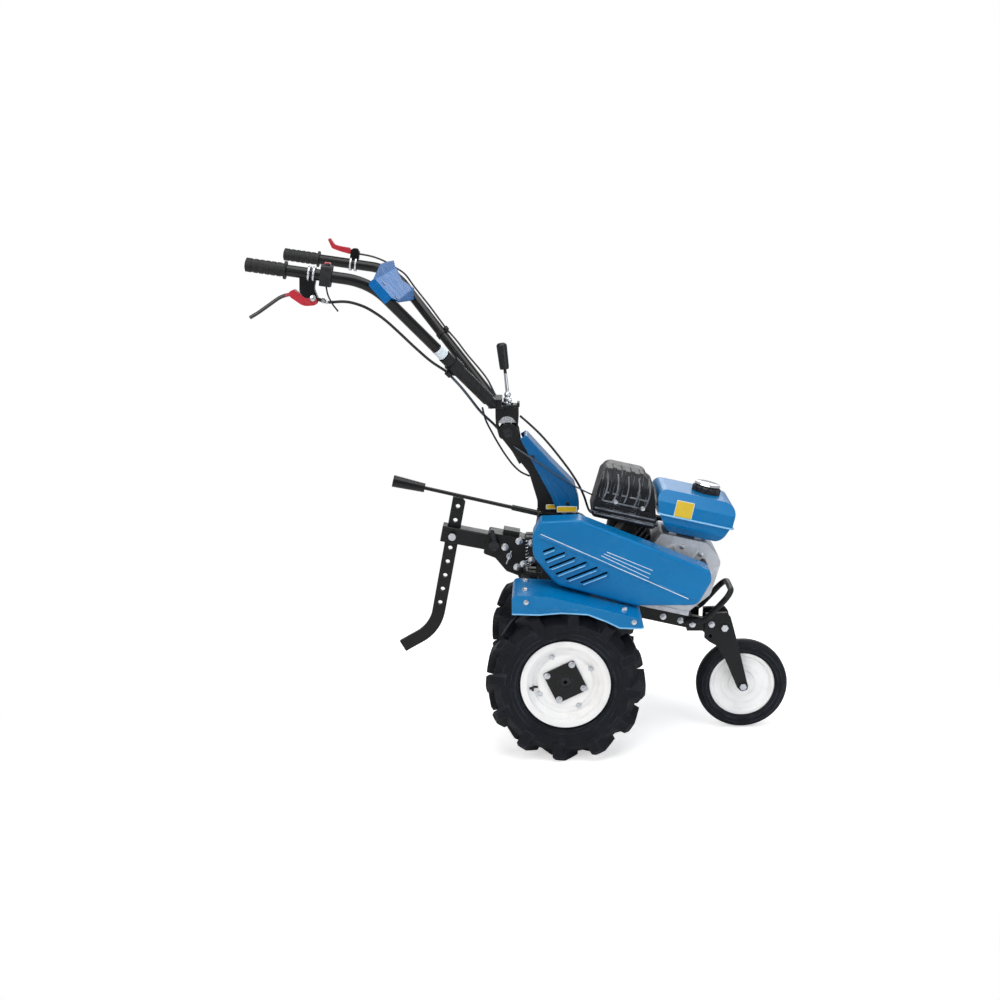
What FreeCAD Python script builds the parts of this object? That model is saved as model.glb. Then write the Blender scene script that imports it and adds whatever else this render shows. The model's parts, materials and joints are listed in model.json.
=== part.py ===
import FreeCAD, Part
import math
import os

Vector = FreeCAD.Vector

# Garden tiller on two lugged drive wheels and a front transport wheel.
# Millimetres. While modelling, the drive axle is at x = 0, z = 0, +x points to the front
# wheel and y = 0 is the middle plane; the belt side is at -y and the starter side at +y.
# At the end everything is lifted so that the tyres stand on z = 0.

# drive wheels
tyre_radius = 205.0
tyre_width = 106.0
lug_height = 20.0
lug_count = 12
lug_width = 21.0
lug_draft = 3.0
lug_reach = 56.0
lug_sweep = 50.0
lug_shoulder = 12.0
shoulder_drop = 20.0
wheel_middle_y = 217.0
rim_flange_radius = 116.0
rim_seat_radius = 102.7
rim_width = 70.0
sheet = 3.0
axle_flats = 25.0
journal_radius = 17.5
running_fit = 0.05
seat_gap = 0.3
hub_radius = 21.0
rim_dish = 5.0
hub_plate_side = 88.0
hub_plate_thickness = 6.0
hub_turn = -26.0

# front transport wheel and its folding leg
front_wheel_x = 484.7
front_tyre_radius = 123.2
front_disc_radius = 88.3
front_tyre_width = 46.0
front_pin_radius = 6.0
leg_half_width = 35.0
leg_wall = 5.0
pivot_x = 431.0
pivot_z = 85.0
lock_hole_radius = 5.0

# sloping frame
frame_slope = 12.5
rail_height = 36.0
rail_outer_y = 60.0
rail_wall = 5.0
rail_flange = 18.0
rail_point_x = 300.0
rail_point_z = 117.0
rail_rear_x = 8.0
rail_front_x = 371.0
tongue_half_width = 15.0
tongue_height = 30.0
bumper_radius = 8.0
bumper_x = 444.0
bumper_z = 194.0
gearbox_half_width = 32.0
gearbox_top = 391.0
gearbox_rear = -74.0

# engine, in its own level frame: u forward, w up from the rails
engine_x = 270.0
shaft_u = 12.0
shaft_w = 106.0
case_near_y = -70.0
side_cover_y = -78.0
case_far_y = 82.0
case_top = 205.0
saddle_height = 8.7
cylinder_lean = 25.0
cover_reach = 196.0
cover_top = 28.0
fin_count = 6
fin_pitch = 13.0
muffler_near_y = -92.0
muffler_far_y = 38.0
tank_length = 194.0
tank_half_width = 110.0
tank_lower_height = 50.0
tank_upper_height = 61.0
cap_radius = 38.0
fan_radius = 104.0
fan_depth = 78.0
starter_radius = 84.0

# belt guard and fenders
guard_outer_y = -190.0
guard_inner_y = -118.0
guard_sheet = 2.5
belt_shaft_x = 8.0
belt_shaft_z = 323.0
fender_outer_y = 278.0
fender_inner_y = 114.0
fender_sheet = 2.0
rear_strap_x = -104.0
rear_strap_z = 242.0
front_strap_x = 150.0
front_strap_z = 190.6
strap_width = 24.0
strap_thickness = 4.0

# steering column, head and handlebars
column_half_width = 28.0
cheek_thickness = 8.0
tilt_x = -149.0
tilt_z = 617.0
cheek_radius = 24.0
tilt_pin_radius = 7.0
arch_x = -151.0
arch_rise = 19.5
arch_radius = 23.5
swivel_x = -150.0
swivel_z = 684.0
stud_radius = 8.0
bar_radius = 14.0
bar_half_width = 260.0
bend_x = -474.0
bend_z = 1027.0
bar_root_x = -186.0
bar_root_y = 38.0
bar_root_z = 694.0
grip_end_x = -772.0
grip_slope = 8.5
grip_radius = 17.0
grip_length = 98.0
grip_rib = 9.0
grip_rib_pitch = 14.0
sleeve_radius = 16.8
cover_half_width = 226.0
cover_wall = 3.0
cover_height = bar_radius + seat_gap + cover_wall
cover_reach_near = bar_half_width + cover_height
cover_flat = 76.0
cover_length = 101.0
cover_facet_drop = 18.0

# hitch, drawbar and depth stake
hitch_slope = 11.0
stake_x = -300.0
stake_z = 338.0
hitch_pin_x = -186.0
hitch_pin_radius = 8.0
hitch_mount_x = -104.0
hitch_wall = 8.0
drawbar_height = 44.0
drawbar_width = 50.0
stake_width = 35.0
stake_thickness = 12.0
stake_pitch = 39.0
stake_hole_radius = 6.05
gear_lever_x = -451.0
gear_lever_y = -62.0
gear_lever_z = 496.2
gear_lever_slope = 12.95
perch_half = 9.0
perch_side = [
    (132, -11, 0),
    (172, -11, 0),
    (170, -34, 24),
    (184, -58, 6),
    (176, -64, 4),
    (150, -58, 14),
    (136, -46, 12),
]
pivot_local = (171.0, -56.0)
clutch_cable_radius = 3.5
thin_cable_radius = 2.5
left_cable_lift = 21.0


def outline(corners, place):
    # closed wire through corners (a, b) or (a, b, rounding); place turns (a, b) into a point
    count = len(corners)
    arcs = []
    starts = []
    ends = []
    for index in range(count):
        corner = corners[index]
        here = Vector(corner[0], corner[1], 0)
        rounding = corner[2] if len(corner) > 2 else 0
        before = corners[index - 1]
        after = corners[(index + 1) % count]
        back = (Vector(before[0], before[1], 0) - here).normalize()
        ahead = (Vector(after[0], after[1], 0) - here).normalize()
        first = here
        last = here
        arc = None
        if rounding:
            half = back.getAngle(ahead) / 2
            reach = rounding / math.tan(half)
            middle = here + (back + ahead).normalize() * (rounding / math.sin(half) - rounding)
            first = here + back * reach
            last = here + ahead * reach
            arc = Part.Arc(*[place(p.x, p.y) for p in (first, middle, last)]).toShape()
        starts.append(first)
        ends.append(last)
        arcs.append(arc)
    edges = []
    for index in range(count):
        if arcs[index] is not None:
            edges.append(arcs[index])
        a = ends[index]
        b = starts[(index + 1) % count]
        if (a - b).Length > 1e-6:
            edges.append(Part.makeLine(place(a.x, a.y), place(b.x, b.y)))
    return Part.Wire(edges)


def side_wire(corners, y):
    return outline(corners, lambda a, b: Vector(a, y, b))


def plate(corners, y0, y1):
    # side-view outline (x, z) pushed from y0 to y1
    return Part.Face(side_wire(corners, y0)).extrude(Vector(0, y1 - y0, 0))


def front_plate(corners, x0, x1):
    # front-view outline (y, z) pushed from x0 to x1
    wire = outline(corners, lambda a, b: Vector(x0, a, b))
    return Part.Face(wire).extrude(Vector(x1 - x0, 0, 0))


def top_plate(corners, z0, z1):
    # plan outline (x, y) pushed from z0 to z1
    wire = outline(corners, lambda a, b: Vector(a, b, z0))
    return Part.Face(wire).extrude(Vector(0, 0, z1 - z0))


def turned(corners, x, z):
    # section (radius, y) turned about the y-going line through x, z
    wire = outline(corners, lambda a, b: Vector(x + a, b, z))
    return Part.Face(wire).revolve(Vector(x, 0, z), Vector(0, 1, 0), 360)


def turned_up(corners, x, y):
    # section (radius, z) turned about the upright line through x, y
    wire = outline(corners, lambda a, b: Vector(x + a, y, b))
    return Part.Face(wire).revolve(Vector(x, y, 0), Vector(0, 0, 1), 360)


def rod(start, end, radius):
    start = Vector(*start)
    along = Vector(*end) - start
    return Part.makeCylinder(radius, along.Length, start, along)


def taper(start, end, start_radius, end_radius):
    start = Vector(*start)
    along = Vector(*end) - start
    return Part.makeCone(start_radius, end_radius, along.Length, start, along)


def cross_rod(x, z, y0, y1, radius):
    return rod((x, min(y0, y1), z), (x, max(y0, y1), z), radius)


def box(x0, x1, y0, y1, z0, z1):
    return Part.makeBox(x1 - x0, y1 - y0, z1 - z0, Vector(x0, y0, z0))


def hexagon(x, z, y0, y1, flats):
    radius = flats / math.sqrt(3)
    points = []
    for corner in range(6):
        angle = math.radians(60 * corner)
        points.append((x + radius * math.cos(angle), z + radius * math.sin(angle)))
    return plate(points, y0, y1)


def bent_path(points, share=0.45):
    # straight runs joined by tangent arcs, each set by its shorter run
    points = [Vector(*p) for p in points]
    edges = []
    radii = []
    here = points[0]
    for index in range(1, len(points) - 1):
        corner = points[index]
        back = points[index - 1] - corner
        ahead = points[index + 1] - corner
        short = min(back.Length, ahead.Length)
        half = back.getAngle(ahead) / 2
        reach = share * short
        radius = reach * math.tan(half)
        back.normalize()
        ahead.normalize()
        first = corner + back * reach
        last = corner + ahead * reach
        middle = corner + (back + ahead).normalize() * (radius / math.sin(half) - radius)
        edges.append(Part.LineSegment(here, first).toShape())
        edges.append(Part.Arc(first, middle, last).toShape())
        radii.append(radius)
        here = last
    edges.append(Part.LineSegment(here, points[-1]).toShape())
    return Part.Wire(edges), radii


def pipe(points, radius, share=0.45):
    path = bent_path(points, share)[0]
    start = Vector(*points[0])
    along = Vector(*points[1]) - start
    ring = Part.Wire(Part.makeCircle(radius, start, along))
    return path.makePipeShell([ring], True, True)


def cable(name, points, radius):
    # sheathed cable; the print shows its length and its tightest bend
    path, radii = bent_path(points)
    solid = pipe(points, radius)
    even = solid.Volume / (math.pi * radius ** 2 * path.Length)
    print(name, "length", round(path.Length, 1), "radii", [round(r) for r in radii], "volume share",
          round(even, 4))
    return solid


def fuse(*shapes):
    return shapes[0].multiFuse(list(shapes[1:])).removeSplitter()


def mirrored(shape):
    return shape.mirror(Vector(0, 0, 0), Vector(0, 1, 0))


def tilted(shape, x, z, degrees):
    # nose-down turn about the y-going line through x, z
    copy = shape.copy()
    copy.rotate(Vector(x, 0, z), Vector(0, 1, 0), degrees)
    return copy


def rail_z(x):
    return rail_point_z + (rail_point_x - x) * math.tan(math.radians(frame_slope))


# drive wheels: one right wheel at -y, the left one is its mirror image
def wheel_section(corners):
    return turned([(r, y - wheel_middle_y) + tuple(rest) for r, y, *rest in corners], 0, 0)


def both_sides(half_section):
    # closes a tyre section given from the bead to the crown on the -y side
    return half_section + [(r, -y) + tuple(rest) for r, y, *rest in reversed(half_section)]


def drive_tyre():
    half = tyre_width / 2
    wall = half - lug_draft
    crown = tyre_radius - lug_height
    carcass = wheel_section(both_sides([
        (rim_seat_radius + seat_gap, -rim_width / 2 + 5),
        (rim_flange_radius + 3, -rim_width / 2 + 4.5),
        (rim_flange_radius + 14, -wall),
        (crown - shoulder_drop, -wall),
        (crown, -wall + shoulder_drop),
    ]))
    # the lugs end on this outer form, flat across the tread and down over the shoulders
    form = wheel_section(both_sides([
        (crown - shoulder_drop - 10, -half),
        (tyre_radius - lug_shoulder, -half),
        (tyre_radius, -half + lug_shoulder),
    ]))
    right_lug = lug(-1)
    left_lug = lug(1)
    lugs = []
    for index in range(lug_count):
        for blank, share in ((right_lug, 0), (left_lug, 0.5)):
            copy = blank.copy()
            copy.translate(Vector(0, -wheel_middle_y, 0))
            copy.rotate(Vector(0, 0, 0), Vector(0, 1, 0), 360.0 / lug_count * (index + share))
            lugs.append(copy)
    treads = Part.makeCompound(lugs).common(form)
    return fuse(carcass, *treads.Solids)


def lug(side):
    # slanted bar from the middle of the tread out over the shoulder, thinner at its top
    shoulder = Vector(lug_sweep / 2, side * lug_reach, 0)
    middle = Vector(-lug_sweep / 2, -side * 4, 0)
    along = (middle - shoulder).normalize()
    across = Vector(-along.y, along.x, 0)
    wires = []
    crown = tyre_radius - lug_height
    for z, width in ((crown - 50, lug_width + 3 * lug_draft), (tyre_radius + 10, lug_width - lug_draft)):
        corners = []
        for end, shift in ((shoulder, -1), (shoulder, 1), (middle, 1), (middle, -1)):
            corners.append(end + across * (shift * width / 2) + Vector(0, 0, z))
        wires.append(Part.makePolygon(corners + corners[:1]))
    return Part.makeLoft(wires, True, True)


def drive_rim():
    # rolled barrel with a drop centre, and the dished disc in its middle
    half = rim_width / 2
    well = rim_seat_radius - 13
    well_half = 10
    well_edge = well_half + 6
    barrel = [
        (rim_flange_radius, -half),
        (rim_flange_radius, -half + sheet),
        (rim_seat_radius, -half + sheet + 1),
        (rim_seat_radius, -well_edge),
        (well, -well_half),
        (well, well_half),
        (rim_seat_radius, well_edge),
        (rim_seat_radius, half - sheet - 1),
        (rim_flange_radius, half - sheet),
        (rim_flange_radius, half),
        (rim_seat_radius - sheet, half - 1),
        (rim_seat_radius - sheet, well_edge + 1.5),
        (well - sheet, well_half + 1.5),
        (well - sheet, -well_half - 1.5),
        (rim_seat_radius - sheet, -well_edge - 1.5),
        (rim_seat_radius - sheet, -half + 1),
    ]
    disc = [
        (well - 1, -sheet),
        (well - 14, -sheet),
        (well - 20, -sheet - rim_dish),
        (hub_plate_side / 2, -sheet - rim_dish),
        (hub_plate_side / 2 - 6, -sheet),
        (hub_radius + seat_gap, -sheet),
        (hub_radius + seat_gap, 0),
        (hub_plate_side / 2 - 4, 0),
        (hub_plate_side / 2 + 2, -rim_dish),
        (well - 22, -rim_dish),
        (well - 16, 0),
        (well - 1, 0),
    ]
    rim = fuse(wheel_section(barrel), wheel_section(disc))
    # slot that the valve stem reaches through
    slot_x = -well + 8
    slot = box(slot_x - 11, slot_x + 11, -wheel_middle_y - 30, -wheel_middle_y + 5, -21, -14)
    return rim.cut(slot)


def drive_hub():
    # square flange bolted on the disc, with a sleeve over the hexagonal axle
    face = -wheel_middle_y - sheet - rim_dish
    half = hub_plate_side / 2
    corners = [(-half, -half, 6), (half, -half, 6), (half, half, 6), (-half, half, 6)]
    flange = plate(corners, face - hub_plate_thickness, face)
    flange.rotate(Vector(0, 0, 0), Vector(0, 1, 0), hub_turn)
    sleeve = cross_rod(0, 0, face - hub_plate_thickness - 2, -gearbox_half_width - 60, hub_radius)
    bore = hexagon(0, 0, face - 20, 0, axle_flats + 2 * running_fit)
    return fuse(flange, sleeve).cut(bore)


def axle():
    end = wheel_middle_y + sheet + rim_dish + hub_plate_thickness
    shaft = hexagon(0, 0, -end, end, axle_flats)
    journal = gearbox_half_width + 45
    shaft = fuse(shaft, cross_rod(0, 0, -journal, journal, journal_radius))
    for side in (-1, 1):
        shaft = shaft.cut(cross_rod(0, 0, side * end, side * (end - 14), 5))
    return shaft


# front transport wheel on its folding leg
front_wheel_z = front_tyre_radius - tyre_radius


def front_tyre():
    half = front_tyre_width / 2
    inner = front_disc_radius
    section = [
        (inner, -half + 6),
        (inner + 10, -half),
        (inner + 20, -half),
        (front_tyre_radius - 3, -half + 8),
        (front_tyre_radius, -half + 15),
    ]
    return turned(both_sides(section), front_wheel_x, front_wheel_z)


def front_disc():
    # pressed wheel: hub, flat web with a raised ring, turned-in rim
    rim_half = front_tyre_width / 2 - 9
    web_half = 5.0
    ring_half = 8.0
    hub_half = leg_half_width - leg_wall - 1.0
    section = [
        (front_pin_radius + running_fit, -hub_half),
        (16, -hub_half),
        (17, -web_half),
        (34, -web_half),
        (38, -ring_half),
        (54, -ring_half),
        (58, -web_half),
        (front_disc_radius - 14, -web_half),
        (front_disc_radius - 8, -rim_half),
        (front_disc_radius - seat_gap, -rim_half),
    ]
    return turned(both_sides(section), front_wheel_x, front_wheel_z)


def front_leg():
    # two cheeks that hold the wheel, joined by a rear web, with turned-in top flanges
    px = pivot_x
    pz = pivot_z
    wx = front_wheel_x
    wz = front_wheel_z
    foot = 15.0
    side = [
        (px - 52, pz + 39, 3),
        (px + 6, pz + 42, 6),
        (px + 16, pz + 29, 4),
        (px + 36, pz - 42, 8),
        (wx + foot - 1, wz, 0),
        (wx + foot - 3, wz - foot + 5, 8),
        (wx - 4, wz - foot, 10),
        (wx - foot - 1, wz - 2, 8),
        (px + 3, pz - 88, 10),
        (px - 22, pz - 50, 4),
        (px - 40, pz - 40, 4),
        (px - 54, pz - 28, 4),
    ]
    near = plate(side, -leg_half_width, -leg_half_width + leg_wall)
    far = plate(side, leg_half_width - leg_wall, leg_half_width)
    web = [(px - 40, pz - 40), (px - 22, pz - 50), (px - 20, pz - 46), (px - 38, pz - 36)]
    back = plate(web, -leg_half_width, leg_half_width)
    lip = [(px - 52, pz + 35), (px + 6, pz + 38), (px + 6, pz + 42), (px - 52, pz + 39)]
    lips = []
    for y in (-leg_half_width, leg_half_width - 12):
        lips.append(plate(lip, y, y + 12))
    leg = fuse(near, far, back, *lips)
    for x, z, radius in ((px, pz, front_pin_radius + running_fit), (px - 35, pz + 9, lock_hole_radius),
                         (px - 37, pz - 24, lock_hole_radius), (wx, wz, front_pin_radius + running_fit)):
        leg = leg.cut(cross_rod(x, z, -2 * leg_half_width, 2 * leg_half_width, radius))
    return leg


def bolt(x, z, half, shank, head_radius, head):
    # through bolt along y with a hexagon at each end
    shaft = cross_rod(x, z, -half, half, shank)
    near = hexagon(x, z, -half - head, -half, head_radius * math.sqrt(3))
    far = hexagon(x, z, half, half + head, head_radius * math.sqrt(3))
    return fuse(shaft, near, far)


# chassis
def frame():
    slope = math.tan(math.radians(frame_slope))
    half = rail_height / 2
    rails = []
    for side in (-1, 1):
        outer = side * rail_outer_y
        inner = side * (rail_outer_y - rail_wall)
        lip = side * (rail_outer_y - rail_flange)
        ends = [(rail_rear_x, rail_z(rail_rear_x)), (rail_front_x, rail_z(rail_front_x))]
        (x0, z0), (x1, z1) = ends
        rails.append(plate([(x0, z0 - half), (x1, z1 - half), (x1, z1 + half), (x0, z0 + half)], outer,
                           inner))
        for low, high in ((-half, -half + rail_wall), (half - rail_wall, half)):
            rails.append(plate([(x0, z0 + low), (x1, z1 + low), (x1, z1 + high), (x0, z0 + high)], outer,
                               lip))
    cross = []
    tongue_x = rail_front_x - 39
    for x in (rail_front_x - 231, tongue_x):
        z = rail_z(x)
        cross.append(box(x, x + 8, -rail_outer_y + 1, rail_outer_y - 1, z - half + 1 - 8 * slope,
                         z + half - 1))
    high = pivot_z + tongue_height / 2
    low = pivot_z - tongue_height / 2
    tongue = [
        (tongue_x, low),
        (tongue_x, high),
        (pivot_x, high),
        (pivot_x + 15, high, 14),
        (pivot_x + 15, low, 14),
        (pivot_x, low),
    ]
    arm = plate(tongue, -tongue_half_width, tongue_half_width)
    bore = cross_rod(pivot_x, pivot_z, -rail_outer_y, rail_outer_y, front_pin_radius + running_fit)
    return fuse(*rails, *cross, arm).cut(bore)


def bumper():
    # lifting loop of round bar, its flattened ends on the outside of the rails
    y = rail_outer_y + bumper_radius + 0.5
    root_x = rail_front_x - 49
    elbow_x = rail_front_x + 1
    points = [
        (root_x, -y, rail_z(root_x)),
        (elbow_x, -y, rail_z(elbow_x) + 12),
        (bumper_x, -y, bumper_z),
        (bumper_x, y, bumper_z),
        (elbow_x, y, rail_z(elbow_x) + 12),
        (root_x, y, rail_z(root_x)),
    ]
    return pipe(points, bumper_radius, 0.3)


def gearbox():
    # upright cast case that reaches from the belt shaft down to the axle
    side = [
        (-62, 0, 0),
        (-44, -55, 40),
        (44, -55, 40),
        (62, 0, 0),
        (70, 135, 30),
        (84, 195, 20),
        (84, gearbox_top - 36, 24),
        (40, gearbox_top, 6),
        (gearbox_rear + 8, gearbox_top, 12),
        (gearbox_rear - 6, gearbox_top - 76, 20),
        (-62, 175, 60),
    ]
    body = plate(side, -gearbox_half_width + 6, gearbox_half_width - 6)
    wire = side_wire(side, -gearbox_half_width)
    halves = []
    for y in (-gearbox_half_width, 3):
        inner = side_wire(side, y).makeOffset2D(-9)
        halves.append(Part.Face(inner).extrude(Vector(0, gearbox_half_width - 3, 0)))
    seam = Part.Face(side_wire(side, -4).makeOffset2D(3)).extrude(Vector(0, 8, 0))
    seam = seam.cut(box(-200, 200, -10, 10, gearbox_top, gearbox_top + 20))
    boss = cross_rod(0, 0, -gearbox_half_width - 40, gearbox_half_width + 40, 34)
    lugs = []
    for x in (28.0, 66.0):
        reach = rail_outer_y - rail_wall
        lugs.append(cross_rod(x, rail_z(x), -reach, reach, 11))
    bearing = cross_rod(belt_shaft_x, belt_shaft_z, guard_inner_y + 24, 0, 30)
    ribs = []
    for angle in (20, 92, 164, 236, 308):
        rib = box(-4, 4, guard_inner_y + 38, -gearbox_half_width, 20, 52)
        rib.rotate(Vector(0, 0, 0), Vector(0, 1, 0), angle)
        rib.translate(Vector(belt_shaft_x, 0, belt_shaft_z))
        ribs.append(rib)
    shaft = cross_rod(belt_shaft_x, belt_shaft_z, guard_inner_y - 2, 0, 12.5)
    hitch_block = box(hitch_mount_x, -60, -30, 30, stake_z - 77, stake_z - 3)
    shelf_top = rear_strap_z - strap_thickness - seat_gap
    strap_shelf = box(rear_strap_x - strap_width / 2, -50, -30, 30, shelf_top - 12, shelf_top)
    case = fuse(body, seam, *halves, boss, bearing, shaft, hitch_block, strap_shelf, *ribs, *lugs)
    return case.cut(cross_rod(0, 0, -200, 200, journal_radius + running_fit))


# engine, modelled level on its base and then laid on the sloping rails
engine_z = rail_z(engine_x) + rail_height / 2 / math.cos(math.radians(frame_slope))
tank_w = case_top + saddle_height + seat_gap
cylinder_top = shaft_w + cover_reach * math.sin(math.radians(cylinder_lean)) \
    + cover_top * math.cos(math.radians(cylinder_lean))
port_w = cylinder_top + seat_gap


def on_rails(shape):
    copy = shape.copy()
    copy.translate(Vector(engine_x, 0, engine_z))
    return tilted(copy, engine_x, engine_z, frame_slope)


def on_rails_point(u, w):
    angle = math.radians(frame_slope)
    x = engine_x + u * math.cos(angle) + w * math.sin(angle)
    z = engine_z - u * math.sin(angle) + w * math.cos(angle)
    return Vector(x, 0, z)


def crankcase():
    base = box(-80, 60, case_near_y - 2, case_far_y - 0.1, 0, 12)
    side = [
        (-66, 6, 0),
        (54, 6, 0),
        (104, 70, 24),
        (110, case_top - 37, 30),
        (60, case_top, 10),
        (-60, case_top, 10),
        (-84, case_top - 55, 10),
        (-84, 60, 20),
    ]
    case = plate(side, case_near_y, case_far_y)
    # side cover with its rim and ribs round the shaft
    cover = cross_rod(shaft_u, shaft_w, side_cover_y, case_near_y, 84)
    cover = cover.common(box(-80, 110, -200, 0, 14, case_top - 4))
    nose = cross_rod(shaft_u, shaft_w, case_near_y - 14, case_near_y, 34)
    ribs = []
    for angle in range(0, 360, 45):
        rib = box(-2.5, 2.5, case_near_y - 13, case_near_y - 6, 30, 80)
        rib.rotate(Vector(0, 0, 0), Vector(0, 1, 0), angle + 22)
        rib.translate(Vector(shaft_u, 0, shaft_w))
        ribs.append(rib.common(box(-80, 108, -200, 0, 16, case_top - 8)))
    shaft = cross_rod(shaft_u, shaft_w, guard_inner_y - 2, case_near_y, 12.5)
    saddles = [box(u, u + 20, -50, 50, case_top - 5, tank_w - seat_gap) for u in (-40, 28)]
    return on_rails(fuse(base, case, cover, nose, *ribs, shaft, *saddles))


def cylinder():
    # finned barrel and head, leaning back
    fins = []
    for index in range(fin_count):
        start = 92 + index * fin_pitch
        fins.append(box(-start - 4, -start, -64, 72, -48, 42))
    neck = 84 + fin_count * fin_pitch
    core = box(-neck - 4, -80, -44, 52, -36, 34)
    rocker_cover = box(-cover_reach, -neck, -40, 48, cover_top - 58, cover_top)
    block = fuse(core, rocker_cover, *fins)
    block.rotate(Vector(0, 0, 0), Vector(0, 1, 0), cylinder_lean)
    block.translate(Vector(shaft_u, 0, shaft_w))
    return on_rails(block.cut(box(-84 - seat_gap, 130, -100, 100, -10, 240)))


def muffler_guard():
    # pressed box with slats over its top and slots along its near side
    low = port_w
    side = [(-258, low, 16), (-78, low, 14), (-112, low + 113, 22), (-140, low + 130, 10),
            (-250, low + 130, 24)]
    near = muffler_near_y
    far = muffler_far_y
    front = [(near, low, 6), (near, low + 100, 30), (near + 36, low + 130.5, 20),
             (far - 10, low + 130.5, 20),
             (far, low + 110, 10), (far, low, 6)]
    shell = plate(side, near - 5, far + 5).common(front_plate(front, -300, -50))
    raised = Part.Face(side_wire(side, near - 3).makeOffset2D(3)).extrude(Vector(0, far - near + 6, 0))
    front_wire = outline(front, lambda a, b: Vector(-300, a, b)).makeOffset2D(3)
    raised = raised.common(Part.Face(front_wire).extrude(Vector(250, 0, 0)))
    combs = []
    for index in range(6):
        u = -246 + index * 24
        combs.append(box(u, u + 9, near - 5, far - 30, low + 56, low + 140))
    belt = box(-265, -60, near - 5, near + 14, low + 10, low + 16)
    slats = raised.common(Part.makeCompound(combs + [belt]))
    guard = fuse(shell, *slats.Solids)
    for row in range(2):
        for index in range(4):
            u = -236 + index * 34
            w = low + 30 + row * 13
            guard = guard.cut(box(u, u + 25, near - 1, near + 4, w, w + 5))
    return on_rails(guard)


def air_cleaner():
    # base pan with a deeper lid held by a wing knob
    low = port_w
    side = [(-236, low, 14), (-116, low, 14), (-116, low + 115, 22), (-236, low + 115, 22)]
    near = muffler_far_y + 8
    far = near + 96
    body = plate(side, near, far)
    lid = [(-238, low + 40), (-114, low + 40), (-114, low + 117, 24), (-238, low + 117, 24)]
    shell = plate(lid, near + 44, far + 2)
    knob = cross_rod(-176, low + 70, far + 2, far + 12, 14)
    wing = box(-196, -156, far + 2, far + 10, low + 66, low + 74)
    return on_rails(fuse(body, shell, knob, wing))


def carburettor():
    # body and float bowl between the cylinder and the air cleaner
    y0 = case_far_y + 8
    neck = box(-196, -150, y0 - 16, y0 + 30, port_w - 34, port_w - seat_gap)
    bowl = turned_up([(0, port_w - 70), (18, port_w - 70), (20, port_w - 60), (20, port_w - 34),
                      (0, port_w - 34)],
                     -173, y0 + 7)
    return on_rails(fuse(neck, bowl))


def fuel_tank():
    # two pressed halves with a rolled seam, chamfered along the top edges
    w = tank_levels()
    rear = -84.0
    front = rear + tank_length - 4
    half = tank_half_width
    lower = plate([(rear + 34, w[0], 26), (front - 18, w[0], 26), (front, w[1], 0), (rear, w[1], 0)],
                  -half, half)
    lower = lower.common(front_plate([(-half + 6, w[1] + 1), (-half + 6, w[0] + 26, 20),
                                      (-half + 34, w[0], 16),
                                      (half - 34, w[0], 16), (half - 6, w[0] + 26, 20), (half - 6,
                                                                                         w[1] + 1)],
                                     rear - 20, front + 20))
    upper = plate([(rear - 1, w[1], 0), (front + 3, w[1], 0), (front + 4, w[2] - 7, 22),
                   (front - 26, w[2], 20),
                   (rear - 19, w[2], 22)], -half, half)
    upper = upper.common(front_plate([(-half, w[1]), (-half, w[2] - 28, 5), (-half + 30, w[2], 8),
                                      (half - 30, w[2], 8), (half, w[2] - 28, 5), (half, w[1])],
                                     rear - 30, front + 30))
    seam = box(rear - 3, front + 7, -half - 3, half + 3, w[1] - 2, w[1] + 2)
    seam = seam.makeFillet(12, [e for e in seam.Edges if e.BoundBox.ZLength > 3 and e.BoundBox.XLength < 1])
    return on_rails(fuse(lower, upper, seam))


def tank_levels():
    # levels of the tank's bottom, seam and top
    return (tank_w, tank_w + tank_lower_height, tank_w + tank_lower_height + tank_upper_height)


def fuel_cap():
    # screw cap with grip flutes round its rim
    base = tank_levels()[2] + seat_gap
    cap = turned_up([(0, base), (cap_radius, base), (cap_radius, base + 13), (cap_radius - 4, base + 17),
                     (0, base + 21)],
                    36, 0)
    for index in range(12):
        angle = math.radians(30 * index)
        x = 36 + (cap_radius + 2) * math.cos(angle)
        y = (cap_radius + 2) * math.sin(angle)
        cap = cap.cut(rod((x, y, base - 1), (x, y, base + 30), 5))
    return on_rails(cap)


def fan_cover():
    # blower housing on the starter side, trimmed flat at the rails
    start = case_far_y + seat_gap
    end = start + fan_depth
    ring = turned([(0, start), (fan_radius, start), (fan_radius, end - 20), (fan_radius - 8, end - 6),
                   (starter_radius, end), (0, end)], shaft_u, shaft_w)
    return on_rails(ring.cut(box(-200, 200, 0, 300, -20, 6)))


def recoil_starter():
    # louvred dome with the pull handle at its upper rear
    start = case_far_y + seat_gap + fan_depth + seat_gap
    dome = turned([(0, start), (starter_radius, start), (starter_radius, start + 16),
                   (starter_radius - 12, start + 26),
                   (30, start + 30), (0, start + 30)], shaft_u, shaft_w)
    for index in range(12):
        slot = box(-4, 4, start + 18, start + 40, 38, starter_radius - 16)
        slot.rotate(Vector(0, 0, 0), Vector(0, 1, 0), 30 * index)
        slot.translate(Vector(shaft_u, 0, shaft_w))
        dome = dome.cut(slot)
    guide = box(shaft_u - 74, shaft_u - 50, start, start + 18, shaft_w + 40, shaft_w + 78)
    handle = rod((shaft_u - 82, start + 9, shaft_w + 86), (shaft_u - 42, start + 9, shaft_w + 86), 9)
    return on_rails(fuse(dome, guide, handle))


# belt guard
def guard_side():
    return [
        (-64, 415, 10),
        (38, 419, 12),
        (372, 285, 14),
        (375, 257, 20),
        (340, 193, 30),
        (178, 192, 40),
        (-24, 248, 50),
        (-84, 325, 50),
        (-84, 380, 30),
    ]


def guard_edges(solid, y):
    return [e for e in solid.Edges if abs(e.BoundBox.YMin - y) < 1e-6 and abs(e.BoundBox.YMax - y) < 1e-6]


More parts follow.
